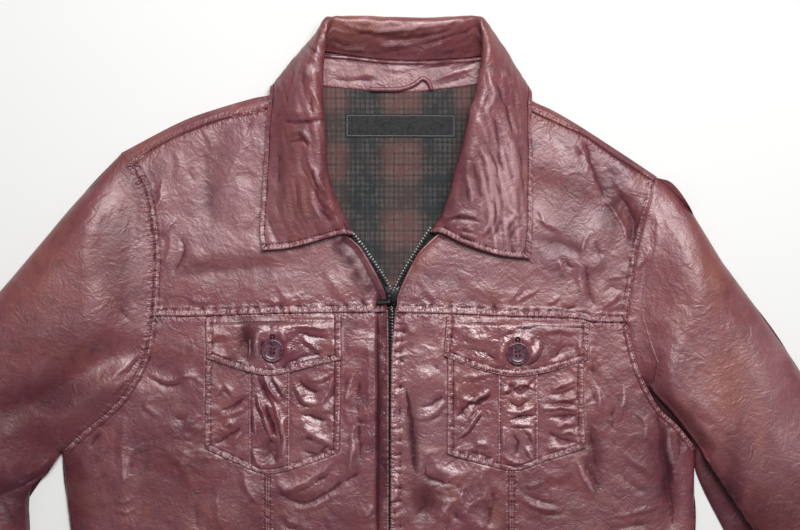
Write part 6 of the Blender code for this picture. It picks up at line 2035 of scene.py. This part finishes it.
def build_buttons(horn, thread):
    for side in ("left", "right"):
        low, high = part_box("pocket_button_" + side)
        x, y = (low.x + high.x) / 2 / MM, (low.y + high.y) / 2 / MM
        base, top = low.z / MM, high.z / MM
        bpy.ops.object.select_all(action="DESELECT")
        middle = (x * MM, y * MM, (base + top - 0.4) / 2 * MM)
        bpy.ops.mesh.primitive_cylinder_add(
            vertices=56, radius=10 * MM, depth=(top - base - 0.4) * MM, location=middle
        )
        made = bpy.context.object
        bpy.ops.object.transform_apply(location=True, rotation=True, scale=True)
        bpy.ops.object.mode_set(mode="EDIT")
        bpy.ops.mesh.select_mode(type="FACE")
        face_where(made, lambda middle, normal: normal.z > 0.9)
        for inset, rise in ((0.4, 0.45), (0.7, 0.1), (0.5, -0.35), (0.9, -0.85), (1.4, -0.4), (2.4, 0.1)):
            bpy.ops.mesh.inset(thickness=inset * MM, depth=rise * MM)
        face_where(made, lambda middle, normal: normal.z < -0.9)
        bpy.ops.mesh.inset(thickness=1.6 * MM, depth=0.0)
        end_piece(made, 0.18)
        turn = math.radians(38 if side == "left" else 52)
        for k in range(4):
            angle = turn + k * math.pi / 2
            bpy.ops.mesh.primitive_cylinder_add(
                vertices=20,
                radius=1.1 * MM,
                depth=8 * MM,
                location=((x + 2.5 * math.cos(angle)) * MM, (y + 2.5 * math.sin(angle)) * MM, (base + 1.5) * MM),
            )
            drill = bpy.context.object
            hole = made.modifiers.new("hole", "BOOLEAN")
            hole.object = drill
            hole.operation = "DIFFERENCE"
            hole.solver = "EXACT"
            bpy.context.view_layer.objects.active = made
            bpy.ops.object.modifier_apply(modifier=hole.name)
            bpy.data.objects.remove(drill, do_unlink=True)
        bpy.ops.object.select_all(action="DESELECT")
        made.select_set(True)
        bpy.context.view_layer.objects.active = made
        bpy.ops.object.shade_smooth_by_angle(angle=math.radians(35))
        name_piece(made, "button_" + side, horn, "pocket_button_" + side, BODY)
        dish = base + (top - base - 0.4) - 0.95
        spots, ways = [], []
        for k in (0, 1):
            angle = turn + k * math.pi + math.pi / 4
            for shift in (-0.32, 0.0, 0.32):
                reach = 2.5 / math.sqrt(2)
                middle = np.array([x + reach * math.cos(angle), y + reach * math.sin(angle)])
                middle = middle + shift * np.array([math.cos(angle), math.sin(angle)])
                spots.append([*middle, dish - 0.75])
                ways.append([-math.sin(angle), math.cos(angle), 0])
        rows = [(np.array(spots), np.array(ways), np.tile([0.0, 0, 1], (len(spots), 1)))]
        mesh = stitch_mesh("button_thread_" + side, rows, 4.2, 0.5)
        tied = add_piece("button_thread_" + side, mesh, None, thread)
        build_buttonhole(side, x, y, thread)


def build_buttonhole(side, x, y, thread):
    """Close overcast stitches round the keyhole, whose eye shows above the button."""
    eye = np.array([x, y + 12.6])
    spots = []
    for angle in np.radians(np.linspace(-60, 240, 22)):
        way = np.array([math.cos(angle), math.sin(angle)])
        spots.append((eye + 1.7 * way, way))
    for reach in np.linspace(1.6, 22, 30):
        for turn in (-1, 1):
            spots.append((eye + (turn * 1.1, -reach), np.array([turn, 0.0])))
    middle = np.array([spot for spot, _ in spots])
    along = np.column_stack([np.array([way for _, way in spots]), np.zeros(len(spots))])
    rows = [(seat(middle, flap_z(middle, side) + 0.05), along, np.tile([0.0, 0, 1], (len(spots), 1)))]
    mesh = stitch_mesh("buttonhole_" + side, rows, 1.9, 0.62)
    made = add_piece("buttonhole_" + side, mesh, None, thread)


class Nodes:
    """Short ways to add and link a material's nodes."""

    def __init__(self, name):
        self.material = bpy.data.materials.new(name)
        self.material.use_nodes = True
        self.tree = self.material.node_tree
        self.shader = self.tree.nodes["Principled BSDF"]
        self.place = self.tree.nodes.new("ShaderNodeTexCoord").outputs["Object"]

    def put(self, socket, value):
        if isinstance(value, bpy.types.NodeSocket):
            self.tree.links.new(value, socket)
        elif hasattr(socket.default_value, "__len__") and len(socket.default_value) == 4 and len(value) == 3:
            socket.default_value = (*value, 1)
        else:
            socket.default_value = value

    def add(self, kind, inputs=None, **settings):
        made = self.tree.nodes.new("ShaderNode" + kind)
        for setting, value in settings.items():
            setattr(made, setting, value)
        for socket, value in (inputs or {}).items():
            self.put(made.inputs[socket], value)
        return made

    def noise(self, scale, detail=3.0, roughness=0.55, distortion=0.0, place=None):
        inputs = {"Vector": place or self.place, "Scale": scale, "Detail": detail}
        inputs |= {"Roughness": roughness, "Distortion": distortion}
        return self.add("TexNoise", inputs).outputs["Fac"]

    def math(self, operation, a, b=0.0, clamp=False):
        return self.add("Math", {0: a, 1: b}, operation=operation, use_clamp=clamp).outputs[0]

    def span(self, value, low, high, out_low=0.0, out_high=1.0):
        inputs = {"Value": value, "From Min": low, "From Max": high, "To Min": out_low, "To Max": out_high}
        return self.add("MapRange", inputs, interpolation_type="SMOOTHSTEP").outputs["Result"]

    def mix(self, share, a, b, blend="MIX"):
        made = self.add("Mix", data_type="RGBA", blend_type=blend)
        self.put(made.inputs["Factor"], share)
        self.put(made.inputs["A"], a)
        self.put(made.inputs["B"], b)
        return made.outputs["Result"]

    def mark(self, name):
        return self.add("Attribute", attribute_name=name).outputs["Fac"]

    def bump(self, height, distance, strength=1.0, normal=None):
        inputs = {"Height": height, "Distance": distance, "Strength": strength}
        if normal is not None:
            inputs["Normal"] = normal
        return self.add("Bump", inputs).outputs["Normal"]

    def finish(self, **inputs):
        for name, value in inputs.items():
            self.put(self.shader.inputs[name.replace("_", " ")], value)
        return self.material


def finish_of(name, maker, settings):
    """A finish is made once, and every piece of it shares it."""
    return bpy.data.materials.get(name) or maker(name, settings)


def hide_material(name, colours, shade=1.0):
    """Washed hide: mottled dye, rusty patches and pebbled grain under a dull gloss; painted sheen in greyish patches,
    wear and painted highlights on ridges, edges and puckers, and painted shade in hollows and at the shade spots.
    """
    n = Nodes(name)
    broad = n.noise(15, 3, 0.6, 0.5)
    mottle = n.noise(85, 4, 0.6, 0.7)
    patch = n.noise(38, 3, 0.6, 0.8)
    speck = n.noise(800, 3, 0.65)
    crest = n.mark("crest")
    body = n.mix(n.span(broad, 0.3, 0.7), colours.body, colours.ruddy)
    body = n.mix(n.span(mottle, 0.52, 0.25, 0, 0.6), body, colours.deep)
    rusty = n.math("MULTIPLY", n.mark("rust"), n.span(mottle, 0.2, 0.7, 0.6, 1))
    rusty = n.math("MAXIMUM", rusty, n.span(n.noise(33, 3, 0.6, 1.2), 0.5, 0.72, 0, 0.45))
    body = n.mix(rusty, body, colours.rust)
    # Painted sheen: a pale greyish colour at the sheen spots and in random patches, broken up by speckle.
    painted_sheen_share = n.math("ADD", n.math("MULTIPLY", n.mark("painted_sheen"), 0.9), n.span(patch, 0.46, 0.75, 0, 0.6))
    painted_sheen_share = n.math("MULTIPLY", painted_sheen_share, n.span(speck, 0.25, 0.75, 0.25, 1.0))
    body = n.mix(n.math("MINIMUM", painted_sheen_share, 0.9), body, colours.painted_sheen)
    stitched, polish = n.mark("stitched"), n.mark("polish")
    beside = n.add("CombineXYZ", {"X": n.mark("along"), "Y": n.math("MULTIPLY", stitched, 2.5)}).outputs[0]
    gathers = n.math("MULTIPLY", n.math("SUBTRACT", n.noise(0.36, 2, 0.5, 0.3, beside), 0.5), stitched)
    # Wear on ridges and edges, with painted highlights: speckle, the puckers beside the stitches and the highlight
    # spots.
    wear_and_highlight_share = n.math("MULTIPLY", crest, n.span(patch, 0.35, 0.65, 0.35, 0.9))
    wear_and_highlight_share = n.math("ADD", wear_and_highlight_share, n.math("MULTIPLY", n.math("SUBTRACT", speck, 0.5), 0.9))
    wear_and_highlight_share = n.math("ADD", wear_and_highlight_share, n.math("MULTIPLY", gathers, 3.2))
    wear_and_highlight_share = n.math("SUBTRACT", wear_and_highlight_share, n.math("MULTIPLY", stitched, 0.2))
    wear_and_highlight_share = n.math("ADD", wear_and_highlight_share, n.math("MULTIPLY", n.mark("bare"), 0.85))
    body = n.mix(n.span(wear_and_highlight_share, 0.28, 0.95, 0, 0.7), body, colours.worn)
    # Painted shade: hollows and puckers darkened, more in the polished places.
    sunk = n.math("ADD", crest, n.math("MULTIPLY", gathers, 1.6))
    body = n.mix(n.math("MULTIPLY", n.span(sunk, -0.2, -0.9), n.span(polish, 0, 0.7, 0.55, 0.9)), body, colours.deep)
    # Painted shade at the shade spots, weaker where worn or highlighted.
    dusk = n.math("MULTIPLY", n.mark("dusk"), n.span(n.mark("bare"), 0.2, 0.9, 0.75, 0.2))
    body = n.mix(dusk, body, n.mix(0.4, colours.deep, (0.012, 0.006, 0.008)))
    # Painted shade: the darker copy of the hide for the pieces beneath.
    if shade < 1:
        body = n.mix(1.0, body, (shade, shade, shade), "MULTIPLY")
    fold = n.math("ABSOLUTE", n.math("SUBTRACT", n.noise(75, 2, 0.5, 0.9), 0.5))
    wrinkle = n.noise(260, 1, 0.5, 0.8)
    pebble = n.noise(430, 1, 0.5, 0.3)
    normal = n.bump(fold, 0.0012, 0.8)
    normal = n.bump(gathers, 0.0022, 1.0, normal)
    normal = n.bump(n.math("MULTIPLY", wrinkle, n.math("ADD", 0.7, polish)), 0.0003, 0.8, normal)
    normal = n.bump(pebble, 0.00022, 0.8, normal)
    rough = n.span(patch, 0.3, 0.7, colours.roughness + 0.08, colours.roughness)
    rough = n.math("SUBTRACT", rough, n.math("MULTIPLY", polish, 0.18))
    # Less gloss where shade is painted, which darkens it further.
    gloss = n.span(n.math("MAXIMUM", dusk, n.span(sunk, -0.3, -1.0, 0, 0.7)), 0, 0.75, 1.0, 0.25)
    shine = {"Specular_IOR_Level": gloss, "Specular_Tint": colours.shine}
    return n.finish(Base_Color=body, Roughness=rough, Normal=normal, **shine)


def shaded_hide_material(name, colours):
    # Painted shade: the hide made darker, for the pieces that lie beneath the others.
    return hide_material(name, colours, 0.85)


def lining_material(name, cloth):
    """A soft check: warm and cool bands both ways, and a fine pinstripe over them."""
    n = Nodes(name)
    split = n.add("SeparateXYZ", {"Vector": n.place})
    x, y = split.outputs["X"], split.outputs["Y"]
    weave = n.noise(900, 2, 0.6)

    def bands(value, period, offset):
        turn = n.math("MULTIPLY", n.math("SUBTRACT", value, offset), 2 * math.pi / period)
        return n.math("ADD", n.math("MULTIPLY", n.math("COSINE", turn), 0.5), 0.5)

    warm_x = n.span(bands(x, 0.0655, 0.0095), 0.15, 0.85)
    warm_y = n.span(bands(y, 0.0602, 0.063), 0.15, 0.85)
    share = n.math("MULTIPLY", warm_x, n.math("ADD", n.math("MULTIPLY", warm_y, 0.55), 0.4))
    share = n.math("ADD", share, n.math("MULTIPLY", warm_y, 0.12))
    base = n.mix(share, cloth.check_cool, cloth.check_warm)
    uneven = n.math("MULTIPLY", n.math("SUBTRACT", n.noise(70, 2), 0.5), 0.0016)
    shows = n.span(n.noise(110, 2), 0.35, 0.65, 0.15, 1)
    for value, period, pale, dark in ((x, 0.0043, 0.3, 0.5), (y, 0.0049, 0.2, 0.45)):
        value = n.math("ADD", value, uneven)
        for shift in (0.0, 0.0013):
            line = n.span(bands(value, period, shift), 0.75, 0.98, 0, pale)
            line = n.math("MULTIPLY", line, n.math("MULTIPLY", shows, n.span(weave, 0.3, 0.65, 0.2, 1)))
            base = n.mix(line, base, cloth.check_line)
        line = n.span(bands(value, 2 * period, 0.0026), 0.85, 0.99, 0, dark)
        base = n.mix(n.math("MULTIPLY", line, shows), base, cloth.check_dark)
    # Painted shade at the shade spots, near the collar's inner edges.
    base = n.mix(n.math("MULTIPLY", n.mark("dusk"), 0.8), base, cloth.check_dark)
    base = n.mix(n.span(weave, 0.3, 0.8, 0, 0.3), base, cloth.check_dark)
    normal = n.bump(weave, 0.0002, 0.7)
    return n.finish(Base_Color=base, Roughness=0.86, Normal=normal, Sheen_Weight=0.2, Specular_IOR_Level=0.25)


def woven_material(name, colour, pale, scale=1600.0):
    """Close weave, with painted sheen: a lighter colour where the threads rise."""
    n = Nodes(name)
    inputs = {"Vector": n.place, "Scale": scale, "Distortion": 1.5, "Detail": 1.0}
    wave = n.add("TexWave", inputs, bands_direction="DIAGONAL")
    threads = n.math("MULTIPLY", wave.outputs["Fac"], n.noise(scale, 2, 0.5))
    base = n.mix(n.span(threads, 0.1, 0.7, 0, 0.6), colour, pale)
    normal = n.bump(threads, 0.0002, 0.7)
    return n.finish(Base_Color=base, Roughness=0.8, Normal=normal, Specular_IOR_Level=0.25)


def label_material(name, cloth):
    return woven_material(name, cloth.label, [0.5 * value + 0.1 for value in cloth.label], 520.0)


def tape_material(name, cloth):
    return woven_material(name, cloth.tape, [value + 0.03 for value in cloth.tape])


def thread_material(name, cloth):
    return woven_material(name, cloth.thread, [1.9 * value for value in cloth.thread], 2600.0)


def pale_thread_material(name, cloth):
    return woven_material(name, cloth.pale_thread, [1.3 * value for value in cloth.pale_thread], 2600.0)


def metal_material(name, hard):
    """Blackened brass: dark, with bright worn spots, and bright teeth heads that are partly polish and partly painted
    glints.
    """
    n = Nodes(name)
    worn = n.noise(420, 3, 0.6)
    base = n.mix(n.span(worn, 0.56, 0.72, 0, 0.6), hard.gunmetal, hard.rubbed_metal)
    base = n.mix(n.mark("crest"), base, hard.bright_metal)
    rough = n.span(worn, 0.3, 0.7, 0.45, 0.28)
    return n.finish(Base_Color=base, Roughness=rough, Metallic=1.0, Normal=n.bump(worn, 0.0001, 0.3))


def horn_material(name, hard):
    """Dyed horn: swirled bands of two tones under a polish."""
    n = Nodes(name)
    swirl = n.noise(110, 4, 0.6, 2.2)
    fleck = n.noise(700, 2, 0.6)
    base = n.mix(n.span(swirl, 0.35, 0.68), hard.horn, hard.horn_pale)
    base = n.mix(n.span(fleck, 0.55, 0.8, 0, 0.4), base, hard.horn)
    rough = n.span(fleck, 0.3, 0.7, 0.2, 0.3)
    return n.finish(Base_Color=base, Roughness=rough, Normal=n.bump(fleck, 0.00008, 0.4), Coat_Weight=0.3)


def colour_setting(name, about, default):
    return FloatVectorProperty(name=name, description=about, subtype="COLOR", size=3, min=0, max=1, default=default)


def share_setting(name, about, default):
    return FloatProperty(name=name, description=about, subtype="FACTOR", min=0, max=1, default=default)


def power_setting(name, about, default):
    return FloatProperty(name=name, description=about, unit="POWER", min=0, default=default)


def size_setting(name, about, default):
    return FloatProperty(name=name, description=about, unit="LENGTH", subtype="DISTANCE", min=0.0003, default=default)


class JacketHideFinish(bpy.types.PropertyGroup):
    """Colours of the worn hide, with its painted sheen, highlights and shade."""

    body: colour_setting("Body", "Main dye of the hide", (0.145, 0.03, 0.048))
    ruddy: colour_setting("Ruddy", "Warmer places in the dye", (0.17, 0.034, 0.042))
    # deep: random dark mottling of the dye, and painted shade in hollows, creases and at the shade spots.
    deep: colour_setting("Deep", "Dye left in hollows and folds", (0.05, 0.011, 0.02))
    # worn: wear on ridges and edges, and painted highlights on the puckers and at the highlight spots.
    worn: colour_setting("Worn", "Rubbed ridges", (0.46, 0.26, 0.28))
    # The colour of the painted sheen, which stands in for the hide's sheen.
    painted_sheen: colour_setting("Bloom", "Greyed, dry patches", (0.27, 0.125, 0.14))
    rust: colour_setting("Rust", "Sun-faded patches", (0.25, 0.075, 0.05))
    shine: colour_setting("Shine", "Tint of the pigmented top coat", (1.0, 0.87, 0.88))
    roughness: share_setting("Roughness", "How matt the hide is", 0.4)


class JacketClothFinish(bpy.types.PropertyGroup):
    """Colours of the cloth and thread."""

    check_warm: colour_setting("Warm check", "Rust-brown bands of the lining", (0.125, 0.06, 0.056))
    check_cool: colour_setting("Cool check", "Charcoal bands of the lining", (0.018, 0.025, 0.028))
    check_line: colour_setting("Check line", "Fine pale lines of the lining", (0.24, 0.2, 0.18))
    # check_dark: the dark lines of the lining, and its painted shade.
    check_dark: colour_setting("Check dark", "Dark lines of the lining", (0.02, 0.018, 0.019))
    label: colour_setting("Label", "Bare woven label", (0.012, 0.012, 0.014))
    tape: colour_setting("Tape", "Zip tape", (0.01, 0.01, 0.011))
    thread: colour_setting("Thread", "Topstitching", (0.028, 0.007, 0.011))
    pale_thread: colour_setting("Label thread", "Border of the label", (0.3, 0.3, 0.31))


class JacketHardFinish(bpy.types.PropertyGroup):
    """Colours of the metal and horn."""

    gunmetal: colour_setting("Gunmetal", "Blackened metal", (0.02, 0.02, 0.022))
    # bright_metal: heads of the teeth, partly polish and partly painted glints.
    bright_metal: colour_setting("Bright metal", "Polished heads of the teeth", (0.7, 0.7, 0.67))
    rubbed_metal: colour_setting("Rubbed metal", "Where the black has worn off", (0.42, 0.42, 0.42))
    horn: colour_setting("Horn", "Dark tone of the buttons", (0.055, 0.016, 0.028))
    horn_pale: colour_setting("Pale horn", "Light tone of the buttons", (0.17, 0.07, 0.1))


class JacketSizes(bpy.types.PropertyGroup):
    """How finely the pieces are made, and the sizes of what repeats."""

    panel_step: size_setting("Panel step", "Grid of the panels in view", 0.0014)
    hidden_step: size_setting("Hidden step", "Grid of the parts below the view", 0.004)
    stitch_pitch: size_setting("Stitch pitch", "From one stitch to the next", 0.0029)
    stitch_length: size_setting("Stitch length", "Length of one stitch", 0.0021)
    tooth_pitch: size_setting("Tooth pitch", "From one tooth to the next on one side", 0.0028)


class JacketStage(bpy.types.PropertyGroup):
    """Floor, light and view."""

    floor: colour_setting("Floor", "Colour of the floor", (0.8, 0.8, 0.785))
    key: power_setting("Key", "Power of the soft lamp", 28)
    spark: power_setting("Spark", "Power of the small lamp in the window", 4.5)
    fill: FloatProperty(name="Fill", description="Strength of the light from all round", min=0, default=0.22)
    height: FloatProperty(name="Camera height", description="Above the floor", unit="LENGTH", min=0.5, default=1.75)
    width: FloatProperty(
        name="View width", description="Width seen at the cloth", unit="LENGTH", min=0.1, default=0.708
    )


def sizes_of(context):
    return context.scene.jacket_sizes


def hide_of(context):
    return finish_of("worn_hide", hide_material, context.scene.jacket_hide)


def shaded_hide_of(context):
    return finish_of("worn_hide_back", shaded_hide_material, context.scene.jacket_hide)


def thread_of(context):
    return finish_of("burgundy_thread", thread_material, context.scene.jacket_cloth)


def metal_of(context):
    return finish_of("blackened_metal", metal_material, context.scene.jacket_hard)


class JACKET_OT_fronts(bpy.types.Operator):
    """Make the front yokes, sides and centres, with their topstitching"""

    bl_idname = "jacket.fronts"
    bl_label = "Fronts"

    def execute(self, context):
        build_fronts(sizes_of(context), hide_of(context))
        stitch_fronts(sizes_of(context), thread_of(context))
        return {"FINISHED"}


class JACKET_OT_waistband(bpy.types.Operator):
    """Make the waistband's fronts and back"""

    bl_idname = "jacket.waistband"
    bl_label = "Waistband"

    def execute(self, context):
        build_waistband(sizes_of(context), hide_of(context), shaded_hide_of(context))
        return {"FINISHED"}


class JACKET_OT_back(bpy.types.Operator):
    """Make the back panel and the back yoke, which comes over the shoulders"""

    bl_idname = "jacket.back"
    bl_label = "Back"

    def execute(self, context):
        build_back(sizes_of(context), shaded_hide_of(context), hide_of(context))
        return {"FINISHED"}


class JACKET_OT_sleeves(bpy.types.Operator):
    """Make the sleeves' tops and undersides, and the cuffs"""

    bl_idname = "jacket.sleeves"
    bl_label = "Sleeves and Cuffs"

    def execute(self, context):
        build_sleeves(sizes_of(context), hide_of(context), shaded_hide_of(context))
        build_cuffs(hide_of(context))
        return {"FINISHED"}


class JACKET_OT_pockets(bpy.types.Operator):
    """Make the pockets, their strips and flaps, with their topstitching"""

    bl_idname = "jacket.pockets"
    bl_label = "Pockets and Flaps"

    def execute(self, context):
        build_pockets(sizes_of(context), hide_of(context))
        stitch_pockets(sizes_of(context), thread_of(context))
        return {"FINISHED"}


class JACKET_OT_collar(bpy.types.Operator):
    """Make the collar and its topstitching"""

    bl_idname = "jacket.collar"
    bl_label = "Collar"

    def execute(self, context):
        build_collar(sizes_of(context), hide_of(context))
        stitch_collar(sizes_of(context), thread_of(context))
        return {"FINISHED"}


class JACKET_OT_neck(bpy.types.Operator):
    """Make the facing, lining, unprinted label and hanger loop that show in the neck"""

    bl_idname = "jacket.neck"
    bl_label = "Neck Inside"

    def execute(self, context):
        cloth = context.scene.jacket_cloth
        plaid = finish_of("check_lining", lining_material, cloth)
        woven = finish_of("black_weave", label_material, cloth)
        build_neck(sizes_of(context), hide_of(context), plaid, woven)
        pale = finish_of("pale_thread", pale_thread_material, cloth)
        stitch_neck(sizes_of(context), thread_of(context), pale)
        return {"FINISHED"}


class JACKET_OT_zip(bpy.types.Operator):
    """Make the zip's tapes and teeth, its slider and its pull tab"""

    bl_idname = "jacket.zip"
    bl_label = "Zip"

    def execute(self, context):
        tape = finish_of("black_tape", tape_material, context.scene.jacket_cloth)
        build_zip(sizes_of(context), tape, metal_of(context))
        build_slider(metal_of(context))
        build_pull_tab(metal_of(context))
        return {"FINISHED"}


class JACKET_OT_buttons(bpy.types.Operator):
    """Make the two pocket buttons and their keyhole buttonholes"""

    bl_idname = "jacket.buttons"
    bl_label = "Buttons"

    def execute(self, context):
        horn = finish_of("dyed_horn", horn_material, context.scene.jacket_hard)
        build_buttons(horn, thread_of(context))
        return {"FINISHED"}


class JACKET_OT_stage(bpy.types.Operator):
    """Make the floor, the light and the camera"""

    bl_idname = "jacket.stage"
    bl_label = "Stage"

    def execute(self, context):
        stage = context.scene.jacket_stage
        bpy.ops.object.select_all(action="DESELECT")
        bpy.ops.mesh.primitive_plane_add(size=8, location=(0, 0, -0.0002))
        bpy.ops.object.transform_apply(location=True, rotation=True, scale=True)
        floor = context.object
        floor.name = "floor"
        n = Nodes("floor_paper")
        tone = n.noise(2.0, 2)
        base = n.mix(n.span(tone, 0.3, 0.7, 0, 0.02), stage.floor, (0.72, 0.72, 0.71))
        floor.data.materials.append(n.finish(Base_Color=base, Roughness=0.95, Specular_IOR_Level=0.1))
        for name, power, width, depth in (("window", stage.key, 1.05, 0.72), ("lamp", stage.spark, 0.3, 0.3)):
            lamp = bpy.data.lights.new(name, "AREA")
            lamp.shape = "RECTANGLE"
            lamp.size, lamp.size_y = width, depth
            lamp.energy = power
            source = bpy.data.objects.new(name, lamp)
            source.location = LAMP_PLACE
            source.rotation_euler = (-source.location).to_track_quat("-Z", "Y").to_euler()
            context.scene.collection.objects.link(source)
        world = bpy.data.worlds.new("room")
        world.use_nodes = True
        world.node_tree.nodes["Background"].inputs["Color"].default_value = (1, 1, 1, 1)
        world.node_tree.nodes["Background"].inputs["Strength"].default_value = stage.fill
        context.scene.world = world
        camera = bpy.data.cameras.new("camera")
        camera.sensor_width = SENSOR_MM
        camera.lens = SENSOR_MM * (stage.height - CLOTH_TOP) / stage.width
        camera.clip_end = 20
        eye = bpy.data.objects.new("camera", camera)
        eye.location = (*VIEW_CENTRE, stage.height)
        context.scene.collection.objects.link(eye)
        context.scene.camera = eye
        context.scene.view_settings.view_transform = "Standard"
        return {"FINISHED"}


OPERATORS = (
    JACKET_OT_fronts,
    JACKET_OT_waistband,
    JACKET_OT_back,
    JACKET_OT_sleeves,
    JACKET_OT_pockets,
    JACKET_OT_collar,
    JACKET_OT_neck,
    JACKET_OT_zip,
    JACKET_OT_buttons,
    JACKET_OT_stage,
)
SETTINGS = {
    "jacket_sizes": JacketSizes,
    "jacket_hide": JacketHideFinish,
    "jacket_cloth": JacketClothFinish,
    "jacket_hard": JacketHardFinish,
    "jacket_stage": JacketStage,
}


class VIEW3D_PT_jacket(bpy.types.Panel):
    bl_label = "Leather Jacket"
    bl_space_type = "VIEW_3D"
    bl_region_type = "UI"
    bl_category = "Jacket"

    def draw(self, context):
        for setting, group in SETTINGS.items():
            box = self.layout.box()
            box.label(text=group.__doc__)
            for name in group.__annotations__:
                box.prop(getattr(context.scene, setting), name)
        for operator in OPERATORS:
            self.layout.operator(operator.bl_idname)


def register():
    for setting, group in SETTINGS.items():
        bpy.utils.register_class(group)
        setattr(bpy.types.Scene, setting, PointerProperty(type=group))
    for operator in OPERATORS:
        bpy.utils.register_class(operator)
    bpy.utils.register_class(VIEW3D_PT_jacket)


def unregister():
    bpy.utils.unregister_class(VIEW3D_PT_jacket)
    for operator in reversed(OPERATORS):
        bpy.utils.unregister_class(operator)
    for setting, group in SETTINGS.items():
        delattr(bpy.types.Scene, setting)
        bpy.utils.unregister_class(group)


def main():
    register()
    bpy.ops.jacket.fronts()
    bpy.ops.jacket.waistband()
    bpy.ops.jacket.back()
    bpy.ops.jacket.sleeves()
    bpy.ops.jacket.pockets()
    bpy.ops.jacket.collar()
    bpy.ops.jacket.neck()
    bpy.ops.jacket.zip()
    bpy.ops.jacket.buttons()
    bpy.ops.jacket.stage()


if __name__ == "__main__":
    main()
